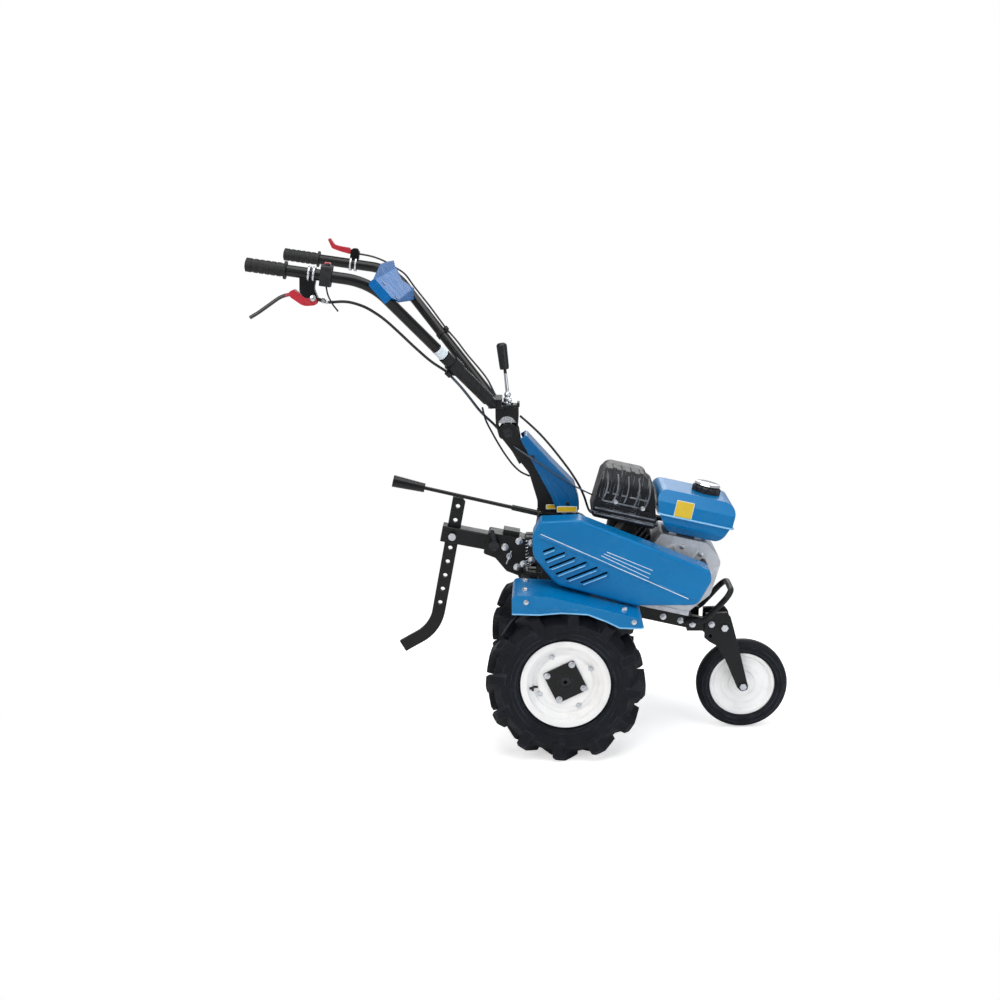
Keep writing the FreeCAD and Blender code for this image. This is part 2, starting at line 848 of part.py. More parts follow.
def belt_guard():
    # deep-drawn cover with a raised line along it and six slanted louvres
    rounding = 7.0
    outer = plate(guard_side(), guard_outer_y, guard_inner_y)
    outer = outer.makeFillet(rounding, guard_edges(outer, guard_outer_y))
    inner_y = guard_outer_y + guard_sheet
    inner_wire = side_wire(guard_side(), inner_y).makeOffset2D(-guard_sheet)
    inner = Part.Face(inner_wire).extrude(Vector(0, guard_inner_y - guard_outer_y, 0))
    inner = inner.makeFillet(rounding - guard_sheet, guard_edges(inner, inner_y))
    ridge = plate([(-70, 381), (-70, 375), (330, 206), (333, 211)], guard_outer_y - 2, guard_outer_y + 1)
    shell = fuse(outer, ridge.common(plate(guard_side(), guard_outer_y - 3, 0))).cut(inner)
    slope = 22.0
    louvres = ((-57, 334, 32), (-51, 312, 55), (-41, 292, 72), (-24, 275, 85), (3, 261, 86), (40, 252, 74))
    for x, z, length in louvres:
        slot = box(0, length, guard_outer_y - 5, inner_y + 1, 0, 5)
        hood = [(-2, -5, 2), (length + 2, -5, 2), (length + 2, 0.5), (-2, 0.5)]
        hood = plate(hood, guard_outer_y - 4, guard_outer_y + 1)
        for piece in (slot, hood):
            piece.rotate(Vector(0, 0, 0), Vector(0, 1, 0), -slope)
            piece.translate(Vector(x, 0, z))
        shell = fuse(shell, hood).cut(slot)
    return shell


def guard_back():
    # inner plate that carries the guard on two stand-offs
    plate_sheet = 3
    wire = side_wire(guard_side(), guard_inner_y - plate_sheet)
    wire = wire.makeOffset2D(-guard_sheet - seat_gap)
    back = Part.Face(wire).extrude(Vector(0, plate_sheet, 0))
    crank = on_rails_point(shaft_u, shaft_w)
    back = back.cut(cross_rod(crank.x, crank.z, -300, 0, 38))
    back = back.cut(cross_rod(belt_shaft_x, belt_shaft_z, -300, 0, 36))
    posts = []
    for u, w in ((-34, 59), (61, 156)):
        p = on_rails_point(u, w)
        posts.append(rod((p.x, side_cover_y - seat_gap, p.z), (p.x, guard_inner_y, p.z), 8))
    return fuse(back, *posts)


# fenders
def fender():
    # channel over the tyre: top, rolled ends and a waved outer skirt with a turned-out rim
    side = [
        (-136, 197, 0),
        (-136, 247, 14),
        (-40, 241, 60),
        (192, 183, 14),
        (198, 159, 6),
        (136, 161, 12),
        (104, 177, 20),
        (56, 196, 20),
        (-10, 200, 40),
        (-70, 195, 20),
    ]
    s = fender_sheet
    outer = plate(side, -fender_outer_y, -fender_inner_y)
    room = [(-136 + s, 135), (-136 + s, 247 - s, 12), (-40, 241 - s, 60), (192 - s, 183 - s, 12),
            (198 - s, 135)]
    inner = plate(room, -fender_outer_y + s, 0)
    bead = plate([(30, 205), (30, 210), (-74, 212), (-74, 207)], -fender_outer_y - 1.5, -fender_outer_y + 1)
    return fuse(outer.cut(inner), bead)


def fender_straps():
    # flat bars across the machine under both fenders
    half = strap_width / 2
    reach = 150
    rear = box(rear_strap_x - half, rear_strap_x + half, -reach, reach, rear_strap_z - strap_thickness,
               rear_strap_z)
    x0 = front_strap_x - half
    x1 = front_strap_x + half
    fall = half * 0.25
    top = front_strap_z
    bar = plate([(x0, top + fall - strap_thickness), (x1, top - fall - strap_thickness), (x1, top - fall),
                 (x0, top + fall)], -reach, reach)
    rise = rail_height / 2 / math.cos(math.radians(frame_slope)) + seat_gap
    foot = [(x0, rail_z(x0) + rise), (x1, rail_z(x1) + rise), (x1, top - fall - 2), (x0, top + fall - 2)]
    feet = [plate(foot, -rail_outer_y, -rail_outer_y + 6), plate(foot, rail_outer_y - 6, rail_outer_y)]
    return Part.makeCompound([rear, fuse(bar, *feet)])


# steering column
def column():
    base = gearbox_top + seat_gap
    side = [
        (gearbox_rear + 2, base, 0),
        (gearbox_rear + 2, base + 44, 40),
        (-94, 510, 60),
        (tilt_x - cheek_radius - 1, tilt_z - 3, 0),
        (tilt_x - cheek_radius, tilt_z + cheek_radius, cheek_radius - 1),
        (tilt_x + cheek_radius + 2, tilt_z + cheek_radius - 2, cheek_radius - 1),
        (tilt_x + cheek_radius + 9, tilt_z - 22, 0),
        (-62, 519, 60),
        (-14, 435, 30),
        (-14, base, 0),
    ]
    post = plate(side, -column_half_width, column_half_width)
    room = column_half_width - cheek_thickness
    post = post.cut(box(tilt_x - 60, tilt_x + 60, -room, room, tilt_z - 34, tilt_z + 60))
    foot = box(gearbox_rear, 36, -gearbox_half_width + 2, gearbox_half_width - 2, base, base + 10)
    pin = cross_rod(tilt_x, tilt_z, -60, 60, tilt_pin_radius + running_fit)
    return fuse(post, foot).cut(pin)


def column_cover():
    # moulded shell over the front of the column, pressed in along both sides
    half = 44.0
    wall = 3.0
    side = [
        (-118, 604, 3),
        (-101, 614, 6),
        (-35, 541, 200),
        (26, 478, 20),
        (38, 436, 10),
        (38, 412, 0),
        (-24, 417, 4),
        (-38, 451, 20),
        (-73, 516, 20),
    ]
    outer = plate(side, -half, half)
    ridge = [e for e in outer.Edges if e.BoundBox.YLength < 1e-6 and e.BoundBox.ZMin > 470]
    ridge = [e for e in ridge if e.BoundBox.ZLength > 50 and e.BoundBox.XMin > -110]
    outer = outer.makeFillet(5, ridge)
    inner = plate([(-160, 612), (-112, 612), (-101, 609), (-37, 538, 190), (23, 477, 17), (35, 435, 8),
                   (35, 395),
                   (-30, 395), (-90, 495)], -half + wall, half - wall)
    shell = outer.cut(inner)
    panel = [(-92, 562, 6), (-12, 478, 14), (16, 440, 12), (16, 424, 4), (-12, 424, 4), (-30, 466, 10),
             (-66, 524, 8)]
    for y in (-half, half - 1.2):
        shell = shell.cut(plate(panel, y, y + 1.2))
    # pads inside both walls that grip the column
    reach = column_half_width + seat_gap
    pads = [box(-77, -72, y, y + half - 1 - reach, 522, 532) for y in (-half + 1, reach)]
    return fuse(shell, *pads)


# head: a clevis block with an arch under it, on the tilting pin of the column
arch_z = tilt_z + arch_rise


def head():
    half = column_half_width - cheek_thickness - seat_gap
    side = [
        (arch_x - 31, swivel_z, 3),
        (arch_x + 30, swivel_z, 2),
        (arch_x + 30, swivel_z - 27, 3),
        (arch_x + 28.5, arch_z, 0),
        (tilt_x + 22, tilt_z - 18, 12),
        (tilt_x - 22, tilt_z - 18, 12),
        (arch_x - 30, arch_z, 0),
        (arch_x - 31, swivel_z - 27, 3),
    ]
    body = plate(side, -half, half)
    drum_radius = 17.0
    opening = cross_rod(arch_x, arch_z, -60, 60, arch_radius)
    opening = opening.cut(cross_rod(tilt_x, tilt_z, -60, 60, drum_radius))
    body = body.cut(opening).cut(cross_rod(tilt_x, tilt_z, -60, 60, tilt_pin_radius + running_fit))
    stud = rod((swivel_x, 0, arch_z), (swivel_x, 0, swivel_z + 60), stud_radius + running_fit)
    return body.cut(stud)


def tilt_disc():
    # toothed half disc that sits under the arch
    half = 14.0
    radius = arch_radius - seat_gap
    disc = cross_rod(arch_x, arch_z, -half, half, radius)
    disc = disc.cut(plate([(arch_x - 60, arch_z + 2), (arch_x - 60, arch_z - 60),
                           (arch_x + 60, arch_z - 60),
                           (arch_x + 60, arch_z + 8)], -half - 1, half + 1))
    teeth = []
    for index in range(9):
        tooth = box(-1, 1, -half - 2, -half + 1, 9, radius - 2)
        tooth.rotate(Vector(0, 0, 0), Vector(0, 1, 0), -64 + 16 * index)
        tooth.translate(Vector(arch_x, 0, arch_z))
        teeth.append(tooth)
    disc = fuse(disc, *teeth)
    return disc.cut(rod((swivel_x, 0, arch_z), (swivel_x, 0, swivel_z), stud_radius + seat_gap))


def handle_bracket():
    # plate that turns on the head, with a saddle for the two bars and an upturned front edge
    low = swivel_z + seat_gap
    top = low + 5.5
    rear = bar_root_x - 14
    wide = bar_root_y + 6
    plan = [(rear, -wide, 6), (-162, -wide, 8), (-136, -19, 10), (arch_x + 32.5, -18, 3),
            (arch_x + 32.5, 18, 3),
            (-136, 19, 10), (-162, wide, 8), (rear, wide, 6)]
    base = top_plate(plan, low, top)
    saddle = box(rear, bar_root_x + 21, -wide, wide, low + 4, low + 24)
    lip = box(arch_x + 26, arch_x + 32.5, -18, 18, low, low + 11)
    body = fuse(base, saddle, lip)
    for bar in bar_solids():
        body = body.cut(bar)
    return body.cut(rod((swivel_x, 0, tilt_z), (swivel_x, 0, swivel_z + 60), stud_radius + running_fit))


def lock_lever():
    # clamping nut on the swivel stud, thin arm and knurled grip
    low = swivel_z + seat_gap + 5.5 + seat_gap
    stud = rod((swivel_x, 0, arch_z + arch_radius + 1), (swivel_x, 0, low + 10), stud_radius)
    section = [(0, low), (15, low), (15, low + 5), (11, low + 7), (11, low + 16), (6, low + 20),
               (0, low + 20)]
    nut = turned_up(section, swivel_x, 0)
    ball = Part.makeSphere(9, Vector(swivel_x, 0, low + 25))
    arm = taper((swivel_x, 0, low + 28), (-157, 0, 786), 5, 4)
    grip_foot = Vector(-157.5, 0, 782)
    grip_top = Vector(-165.5, 0, 851)
    shape = [(0, 0), (11.5, 0, 2), (12.5, 6), (13.8, 60), (13.8, 69.5, 8), (0, 69.5)]
    grip = turned_up(shape, 0, 0)
    lean = math.degrees(math.atan2(grip_top.x - grip_foot.x, grip_top.z - grip_foot.z))
    grip.rotate(Vector(0, 0, 0), Vector(0, 1, 0), lean)
    grip.translate(grip_foot)
    catch = rod((swivel_x + 4, 0, low + 10), (swivel_x + 6, -15, low + 11), 4)
    knob = Part.makeSphere(6, Vector(swivel_x + 6, -17, low + 11))
    return fuse(stud, nut, ball, arm, grip, catch, knob)


# handlebars
def grip_line_z(x):
    return bend_z + (bend_x - x) * math.tan(math.radians(grip_slope))


def bar_points(side):
    start_x = grip_end_x + 6
    return [
        (start_x, side * bar_half_width, grip_line_z(start_x)),
        (bend_x, side * bar_half_width, bend_z),
        (bar_root_x, side * bar_root_y, bar_root_z),
    ]


def bar_solids():
    return [pipe(bar_points(side), bar_radius, 0.2) for side in (-1, 1)]


def along_bar(side, run, lift=0.0):
    # point on the lower length of a bar, run from its root, lift square off its upper side
    bend, root = [Vector(*p) for p in bar_points(side)[1:]]
    down = (root - bend).normalize()
    up = Vector(0, 0, 1) - down * down.z
    up.normalize()
    return root - down * run + up * lift


def grip(side):
    # ribbed rubber sleeve with a stop flange
    a, b = [Vector(*p) for p in bar_points(side)[:2]]
    along = (b - a).normalize()
    start = Vector(grip_end_x, a.y, grip_line_z(grip_end_x))
    shapes = [Part.makeCylinder(grip_radius - 1.2, grip_length, start, along)]
    shapes.append(Part.makeCylinder(grip_radius, 14, start, along))
    first = 20
    for index in range(int((grip_length - first - grip_rib - 8) / grip_rib_pitch) + 1):
        shapes.append(Part.makeCylinder(grip_radius, grip_rib,
                                        start + along * (first + grip_rib_pitch * index), along))
    shapes.append(Part.makeCylinder(grip_radius + 5, 5, start + along * (grip_length - 5), along))
    return fuse(*shapes).cut(Part.makeCylinder(bar_radius + 0.1, grip_length, a, along))


def cable_sleeve():
    # moulded sleeve round the right bar, with the thicker clip that leads the clutch cable
    low = along_bar(-1, 24)
    high = along_bar(-1, 205)
    tube = rod(low, high, sleeve_radius)
    clip = rod(along_bar(-1, 150), along_bar(-1, 178), sleeve_radius + 4)
    eye = rod(along_bar(-1, 158, -26), along_bar(-1, 172, -26), 7.5)
    web = rod(along_bar(-1, 165, -10), along_bar(-1, 165, -26), 5)
    body = fuse(tube, clip, eye, web)
    body = body.cut(rod(along_bar(-1, -40), along_bar(-1, 300), bar_radius + seat_gap / 2))
    return body.cut(rod(along_bar(-1, 150, -26), along_bar(-1, 180, -26),
                        clutch_cable_radius + running_fit))


def left_clip():
    # clip on the left bar for its cable
    band_ring = rod(along_bar(1, 240), along_bar(1, 252), bar_radius + 2.5)
    eye = rod(along_bar(1, 241, left_cable_lift), along_bar(1, 251, left_cable_lift), 6)
    solid = fuse(band_ring, eye, rod(along_bar(1, 246, 10), along_bar(1, 246, left_cable_lift), 4))
    solid = solid.cut(rod(along_bar(1, 200), along_bar(1, 300), bar_radius + seat_gap / 2))
    eye_hole = rod(along_bar(1, 230, left_cable_lift), along_bar(1, 262, left_cable_lift),
                   thin_cable_radius + seat_gap)
    return solid.cut(eye_hole)


def on_bars(shape):
    # local x runs down along the bars from the bend, local z stands off them
    a, b = [Vector(*p) for p in bar_points(-1)[1:3]]
    copy = shape.copy()
    copy.rotate(Vector(0, 0, 0), Vector(0, 1, 0), math.degrees(math.atan2(a.z - b.z, b.x - a.x)))
    copy.translate(Vector(bend_x, 0, bend_z))
    return copy


def cross_bar():
    # tube between the bars, just below the bend, with two tabs for the cover
    share = 0.16
    a, b = [Vector(*p) for p in bar_points(-1)[1:3]]
    p = a + (b - a) * share
    tube = rod((p.x, p.y, p.z), (p.x, -p.y, p.z), 9)
    tabs = [on_bars(box(52, 65, y, y + 20, 0, cover_height - cover_wall - seat_gap)) for y in (-190, 60)]
    tube = fuse(tube, *tabs)
    for bar in bar_solids():
        tube = tube.cut(bar)
    return tube


def handle_cover():
    # shallow panel laid over the bars: flat face, falling lower facet, outer side wall and a flared rear lip
    near = -cover_reach_near
    far = cover_half_width
    top = cover_height
    wall = cover_wall
    low = top - cover_facet_drop
    section = [(0, 4), (0, top, 6), (cover_flat, top, 8), (cover_length, low), (cover_length - 3, low - 2),
               (cover_flat - 1, top - wall), (wall, top - wall), (wall, 4)]
    skin = plate(section, near, far)
    side_wall = plate([(0, -5, 8), (0, top, 6), (cover_flat, top), (cover_flat, -5)], near, near + wall)
    lip = plate([(0, top - wall), (wall, top - wall), (-20, top + 10), (-22, top + 7)], near, far)
    body = fuse(skin, side_wall, lip)
    # swept rear lip, notch in the left edge and slanted lower edge
    plan = [(0, near - 1), (63, near - 1), (80, near + 72), (cover_length, far - 36), (80, far + 1),
            (41, far - 107, 4), (3, far + 1), (-15, far + 1), (-23, near + 217)]
    body = on_bars(body.common(top_plate(plan, -20, 200)))
    for side in (-1, 1):
        body = body.cut(pipe(bar_points(side), bar_radius + seat_gap, 0.2))
    return body


def on_grip(shape, side):
    # local x runs forward along the grip from its rear end, z is up
    copy = shape.copy()
    copy.rotate(Vector(0, 0, 0), Vector(0, 1, 0), grip_slope)
    copy.translate(Vector(grip_end_x, side * bar_half_width, grip_line_z(grip_end_x)))
    return copy


def on_grip_point(x, y, z, side):
    angle = math.radians(grip_slope)
    return (grip_end_x + x * math.cos(angle) + z * math.sin(angle), side * bar_half_width + y,
            grip_line_z(grip_end_x) - x * math.sin(angle) + z * math.cos(angle))


def band(start, length):
    ring = rod((start, 0, 0), (start + length, 0, 0), bar_radius + 4)
    return ring.cut(rod((start - 1, 0, 0), (start + length + 1, 0, 0), bar_radius + seat_gap / 2))


def right_perch():
    # housing under the bar, two clamp bands, lever pin and cable adjuster
    x, z = pivot_local
    body = plate(perch_side, -perch_half, perch_half)
    bore = rod((0, 0, 0), (300, 0, 0), bar_radius + seat_gap / 2)
    pin = cross_rod(x, z, -perch_half - 5, perch_half + 5, 3)
    adjuster = rod((180, 0, -58), (206, 0, -62), 4.5)
    return on_grip(fuse(body, band(150, 7), band(162, 7), pin, adjuster).cut(bore), -1)


def right_lever():
    # jaw that straddles the housing, and the round lever behind it
    x, z = pivot_local
    half = perch_half + 2.5
    side = [(180, -50, 8), (182, -72, 10), (150, -79, 30), (116, -62, 8), (110, -50, 6), (122, -42, 6)]
    jaw = plate(side + [(140, -52, 12), (154, -60, 12)], -half, half)
    near = -perch_half - seat_gap / 2
    hollow = Part.Face(side_wire(perch_side, near).makeOffset2D(seat_gap + 0.1)).extrude(Vector(0,
                                                                                                -2 * near, 0))
    jaw = jaw.cut(hollow).cut(box(170, 220, near, -near, -70, -40)).cut(cross_rod(x, z, -40, 40,
                                                                                  3 + running_fit))
    bar = pipe([(118, 0, -54), (92, 0, -64), (68, 0, -86), (40, 0, -112), (22, 0, -126)], 4.5)
    return on_grip(fuse(jaw, bar), -1)


def left_perch():
    body = plate([(182, 12, 0), (206, 12, 0), (206, 44, 10), (182, 44, 10)], -perch_half, perch_half)
    bore = rod((0, 0, 0), (300, 0, 0), bar_radius + seat_gap / 2)
    return on_grip(fuse(band(182, 7), band(196, 7), body).cut(bore), 1)


def left_lever():
    blade = [(181.7, 26, 3), (181.7, 43, 6), (150, 44, 14), (136, 46, 8), (122, 62, 3), (115, 58, 3),
             (129, 35, 12),
             (152, 30, 14)]
    return on_grip(plate(blade, -6, 6), 1)


def switch_box():
    # housing clamped round the bar with a rocker on top
    body = box(182, 208, -19, 19, -25, 26)
    body = body.makeFillet(7, [e for e in body.Edges if e.BoundBox.XLength > 20])
    rocker = plate([(187, 25, 0), (203, 25, 0), (203, 31, 2), (187, 28, 2)], -9, 9)
    return on_grip(fuse(body, rocker).cut(rod((0, 0, 0), (300, 0, 0), bar_radius + seat_gap / 2)), -1)


# hitch, drawbar and depth stake, laid on the slope of the hitch
def hitched(shape):
    return tilted(shape, stake_x, stake_z, hitch_slope)


def drawbar():
    half = drawbar_height / 2
    bar = box(stake_x - 30, hitch_pin_x + 46, -drawbar_width / 2, drawbar_width / 2, stake_z - half,
              stake_z + half)
    bar = bar.makeFillet(5, [e for e in bar.Edges if e.BoundBox.XLength > 100])
    room = stake_width / 2 + seat_gap
    slot = box(stake_x - room, stake_x + room, -stake_thickness / 2 - seat_gap,
               stake_thickness / 2 + seat_gap,
               stake_z - 150, stake_z + 150)
    bar = bar.cut(slot).cut(cross_rod(stake_x, stake_z, -60, 60, stake_hole_radius))
    bar = bar.cut(cross_rod(hitch_pin_x, stake_z, -60, 60, hitch_pin_radius + running_fit))
    return hitched(bar)


def stake():
    # flat bar with a row of holes, its foot swept back to a chisel end
    half = stake_width / 2
    points = [
        (stake_x - half, stake_z + 102, 3),
        (stake_x + half - 9, stake_z + 102, 3),
        (stake_x + half, stake_z + 93, 3),
        (stake_x + half, stake_z - 276, 125),
        (stake_x - 68, stake_z - 350, 0),
        (stake_x - 90, stake_z - 325, 0),
        (stake_x - half, stake_z - 262, 90),
    ]
    bar = plate(points, -stake_thickness / 2, stake_thickness / 2)
    for index in range(-5, 3):
        bar = bar.cut(cross_rod(stake_x, stake_z + index * stake_pitch, -60, 60, stake_hole_radius))
    return hitched(bar)


def stake_pin():
    radius = stake_hole_radius - running_fit
    return hitched(fuse(cross_rod(stake_x, stake_z, -36, 34, radius),
                        cross_rod(stake_x, stake_z, -40, -34, 10)))


def hitch_bracket():
    # socket for the drawbar, with deeper cheeks that fall away towards the gearbox
    half = drawbar_width / 2
    wall = hitch_wall
    low = stake_z - drawbar_height / 2
    high = stake_z + drawbar_height / 2
    side = [
        (hitch_pin_x - 24, low - wall, 6),
        (hitch_pin_x - 20, high + wall, 5),
        (hitch_pin_x + 90, high + wall, 0),
        (hitch_pin_x + 90, low - 52, 0),
        (hitch_pin_x + 46, low - 44, 10),
        (hitch_pin_x + 10, low - wall - 6, 12),
    ]
    outer = plate(side, -half - wall, half + wall)
    room = box(hitch_pin_x - 60, hitch_pin_x + 60, -half - seat_gap, half + seat_gap, low - seat_gap,
               high + seat_gap)
    block = box(hitch_pin_x + 18, hitch_pin_x + 62, -half + 3, half - 3, high + wall - 1, high + wall + 13)
    hole = cross_rod(hitch_pin_x, stake_z, -60, 60, hitch_pin_radius + running_fit)
    body = fuse(outer.cut(room), block).cut(hole)
    body = hitched(body).cut(box(hitch_mount_x - seat_gap, 100, -50, 50, stake_z - 200, stake_z + 150))
    shelf_rear = rear_strap_x - strap_width / 2
    return body.cut(box(shelf_rear - seat_gap, 100, -50, 50, 0, rear_strap_z + seat_gap))


def hitch_pin():
    # pin with a wing head
    head = cross_rod(hitch_pin_x, stake_z, -52, -44, 14)
    pin = cross_rod(hitch_pin_x, stake_z, -44, 44, hitch_pin_radius)
    x = hitch_pin_x
    z = stake_z
    wing = plate([(x - 4, z + 6, 0), (x + 8, z + 6, 0), (x - 8, z + 44, 4), (x - 18, z + 40, 4)], -50, -46)
    return hitched(fuse(pin, head, wing))


def gear_lever():
    # tapered grip, thin rod, thicker sleeve, then a crank down to the shift shaft in the case
    y = gear_lever_y
    line = math.tan(math.radians(gear_lever_slope))

    def point(run):
        return (gear_lever_x + run, y, gear_lever_z - run * line)

    handle = taper(point(0), point(83), 16, 12)
    thin = rod(point(60), point(330), 5)
    sleeve = rod(point(312), point(385), 7.5)
    foot = point(385)
    knuckle = Part.makeSphere(10, Vector(*foot))
    crank_end = (foot[0] + 10, y, foot[2] - 38)
    crank = rod(foot, crank_end, 7)
    shaft = cross_rod(crank_end[0], crank_end[2], y - 9, -gearbox_half_width - seat_gap, 9)
    return fuse(handle, thin, sleeve, knuckle, crank, shaft)


# control cables


def clutch_cable():
    start = on_grip_point(208, 0, -62, -1)
    clip_in = along_bar(-1, 178, -26)
    clip_out = along_bar(-1, 158, -26)
    return cable("clutch_cable", [start, (-530, -258, 982), (-488, -251, 968), (-446, -233, 938),
                                  (-410, -211, 900),
                                  (-376, -187, 862), (-338, -158, 822), tuple(clip_in), tuple(clip_out)],
                 clutch_cable_radius)


def lower_cable():
    start = along_bar(-1, 157.5, -26)
    return cable("lower_cable", [tuple(start), (-268, -102, 752), (-242, -72, 712), (-224, -38, 680),
                                 (-208, -2, 656),
                                 (-190, 27, 634), (-166, 35, 606), (-141, 32.5, 566), (-118, 31.8, 524)],
                 clutch_cable_radius)


def stop_cable():
    return cable("stop_cable", [(-214, -62, 690), (-208, -40, 655), (-193, -18, 620), (-177, -8, 588),
                                (-158, -6, 556),
                                (-137, -6, 527), (-116, -6, 507), (-92.6, -6, 497)], thin_cable_radius)


def throttle_cable():
    return cable("throttle_cable", [(arch_x + 34, -12, 660), (-96, -20, 643), (-67, -22, 616),
                                    (-38, -22, 583),
                                    (-10, -22, 547), (16, -22, 512), (38, -21, 476), (53, -13, 442), (61,
                                                                                                      8, 412),
                                    (68, 34, 391), (80, 60, 379), (98, 80, 373), (117.5, 92, 371)], 3.0)


def cover_wire():
    # thin lead across the side of the column cover to the engine
    y = -46.3
    return cable("cover_wire", [(-134, -31, 582), (-118, -40, 573), (-98, y, 560), (-66, y, 540),
                                (-36, y, 518),
                                (-6, y, 499), (24, y, 479), (50, -49, 466), (73.8, -52, 455)], 2.0)


def left_cable():
    points = [on_grip_point(206.4, 0, 30, 1), on_grip_point(242, -3, 29, 1), on_grip_point(276, -7, 22, 1)]
    lift = left_cable_lift
    for run, up, out in ((452, 25, 11), (412, 20, 24), (372, 19, 32), (328, 22, 14), (288, lift + 1, 2),
                         (251, lift, 0),
                         (241, lift, 0), (196, 24, 0), (146, 22, 0), (96, 25, 0), (52, 25, 0)):
        points.append(tuple(along_bar(1, run, up) + Vector(0, out, 0)))
    points.append((bar_root_x + 2, 25, swivel_z + 28))
    return cable("left_cable", points, thin_cable_radius)


def switch_wire():
    start = on_grip_point(198, 0, -26, -1)
    return cable("switch_wire", [start, (-577, -262, 998), (-566, -266, 976), (-552, -266, 958)], 2.0)


shapes = {}
shapes["gearbox"] = gearbox()
shapes["frame"] = frame()
shapes["bumper"] = bumper()
shapes["axle"] = axle()
for name, maker in (("drive_tyre", drive_tyre), ("drive_rim", drive_rim), ("drive_hub", drive_hub),
                    ("fender", fender)):
    shapes[name + "_right"] = maker()
    shapes[name + "_left"] = mirrored(shapes[name + "_right"])
shapes["fender_straps"] = fender_straps()
shapes["front_tyre"] = front_tyre()
shapes["front_disc"] = front_disc()
shapes["front_leg"] = front_leg()
shapes["front_axle"] = bolt(front_wheel_x, front_wheel_z, leg_half_width, front_pin_radius, 10, 7)
shapes["leg_pivot"] = bolt(pivot_x, pivot_z, leg_half_width, front_pin_radius, 10, 7)
shapes["crankcase"] = crankcase()
shapes["cylinder"] = cylinder()
shapes["muffler_guard"] = muffler_guard()
shapes["air_cleaner"] = air_cleaner()
shapes["carburettor"] = carburettor()
shapes["fuel_tank"] = fuel_tank()
shapes["fuel_cap"] = fuel_cap()
shapes["fan_cover"] = fan_cover()
shapes["recoil_starter"] = recoil_starter()
shapes["belt_guard"] = belt_guard()
shapes["guard_back"] = guard_back()
shapes["column"] = column()
shapes["column_cover"] = column_cover()
shapes["head"] = head()
shapes["tilt_disc"] = tilt_disc()
shapes["tilt_pin"] = cross_rod(tilt_x, tilt_z, -column_half_width, column_half_width, tilt_pin_radius)
shapes["handle_bracket"] = handle_bracket()
bars = bar_solids()
shapes["handle_bar_right"] = bars[0]
shapes["handle_bar_left"] = bars[1]
shapes["grip_right"] = grip(-1)
shapes["grip_left"] = grip(1)
shapes["cable_clips"] = Part.makeCompound([cable_sleeve(), left_clip()])
shapes["cross_bar"] = cross_bar()
shapes["handle_cover"] = handle_cover()
shapes["lock_lever"] = lock_lever()
shapes["perch_right"] = right_perch()
shapes["clutch_lever_right"] = right_lever()
shapes["perch_left"] = left_perch()
shapes["clutch_lever_left"] = left_lever()
shapes["switch_box"] = switch_box()
shapes["drawbar"] = drawbar()
shapes["stake"] = stake()
shapes["stake_pin"] = stake_pin()
shapes["hitch_bracket"] = hitch_bracket()
shapes["hitch_pin"] = hitch_pin()
shapes["gear_lever"] = gear_lever()
shapes["bar_cables"] = Part.makeCompound([clutch_cable(), left_cable(), switch_wire()])
shapes["lower_cables"] = Part.makeCompound([lower_cable(), stop_cable(), throttle_cable(), cover_wire()])

# set on the ground, centred along x
rear_end = grip_end_x - grip_radius * math.sin(math.radians(grip_slope))
middle_x = (rear_end + front_wheel_x + front_tyre_radius) / 2
os.makedirs("parts", exist_ok=True)
for name, shape in shapes.items():
    shape.translate(Vector(-middle_x, 0, tyre_radius))
    if not shape.isValid():
        print("not valid:", name)
    if len(shape.Solids) != 1:
        print("solids:", name, len(shape.Solids))
    shape.exportStep("parts/" + name + ".step")
bounds = Part.makeCompound(list(shapes.values())).BoundBox
print("bounds", [round(v, 2) for v in (bounds.XMin, bounds.XMax, bounds.YMin, bounds.YMax, bounds.ZMin,
                                       bounds.ZMax)])
print("middle_x", round(middle_x, 4))
print("volume", round(sum(s.Volume for s in shapes.values()) / 1e9, 5), "m3")
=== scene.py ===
import json
import bpy
import bmesh
from math import cos, pi, radians, sin, tan
from mathutils import Matrix, Vector


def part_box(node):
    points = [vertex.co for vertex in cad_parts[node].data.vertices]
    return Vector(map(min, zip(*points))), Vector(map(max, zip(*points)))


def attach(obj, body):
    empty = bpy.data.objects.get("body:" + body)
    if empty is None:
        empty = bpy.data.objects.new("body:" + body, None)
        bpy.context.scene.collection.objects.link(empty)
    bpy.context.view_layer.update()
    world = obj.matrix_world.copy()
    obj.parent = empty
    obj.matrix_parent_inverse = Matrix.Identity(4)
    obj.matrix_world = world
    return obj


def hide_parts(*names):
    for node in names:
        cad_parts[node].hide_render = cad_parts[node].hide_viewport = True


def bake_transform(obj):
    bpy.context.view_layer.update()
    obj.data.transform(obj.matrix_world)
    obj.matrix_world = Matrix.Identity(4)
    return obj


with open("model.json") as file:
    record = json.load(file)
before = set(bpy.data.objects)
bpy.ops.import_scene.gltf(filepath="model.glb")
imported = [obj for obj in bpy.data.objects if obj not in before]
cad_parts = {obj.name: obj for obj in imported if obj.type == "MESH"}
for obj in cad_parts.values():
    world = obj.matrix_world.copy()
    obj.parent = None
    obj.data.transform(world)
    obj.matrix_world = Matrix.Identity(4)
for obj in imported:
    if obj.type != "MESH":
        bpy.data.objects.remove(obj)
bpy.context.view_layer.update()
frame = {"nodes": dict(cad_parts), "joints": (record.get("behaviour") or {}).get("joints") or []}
nodes = frame["nodes"]
joints = {joint["name"]: Vector(joint["pos_m"]) for joint in frame["joints"]}
axleCentre = joints["drive_wheels_spin"]
mm = 0.001
print("frame loaded,", len(nodes), "nodes")


def at(x, y, z):
    # millimetres from the middle of the drive axle
    return axleCentre + Vector((x, y, z)) * mm


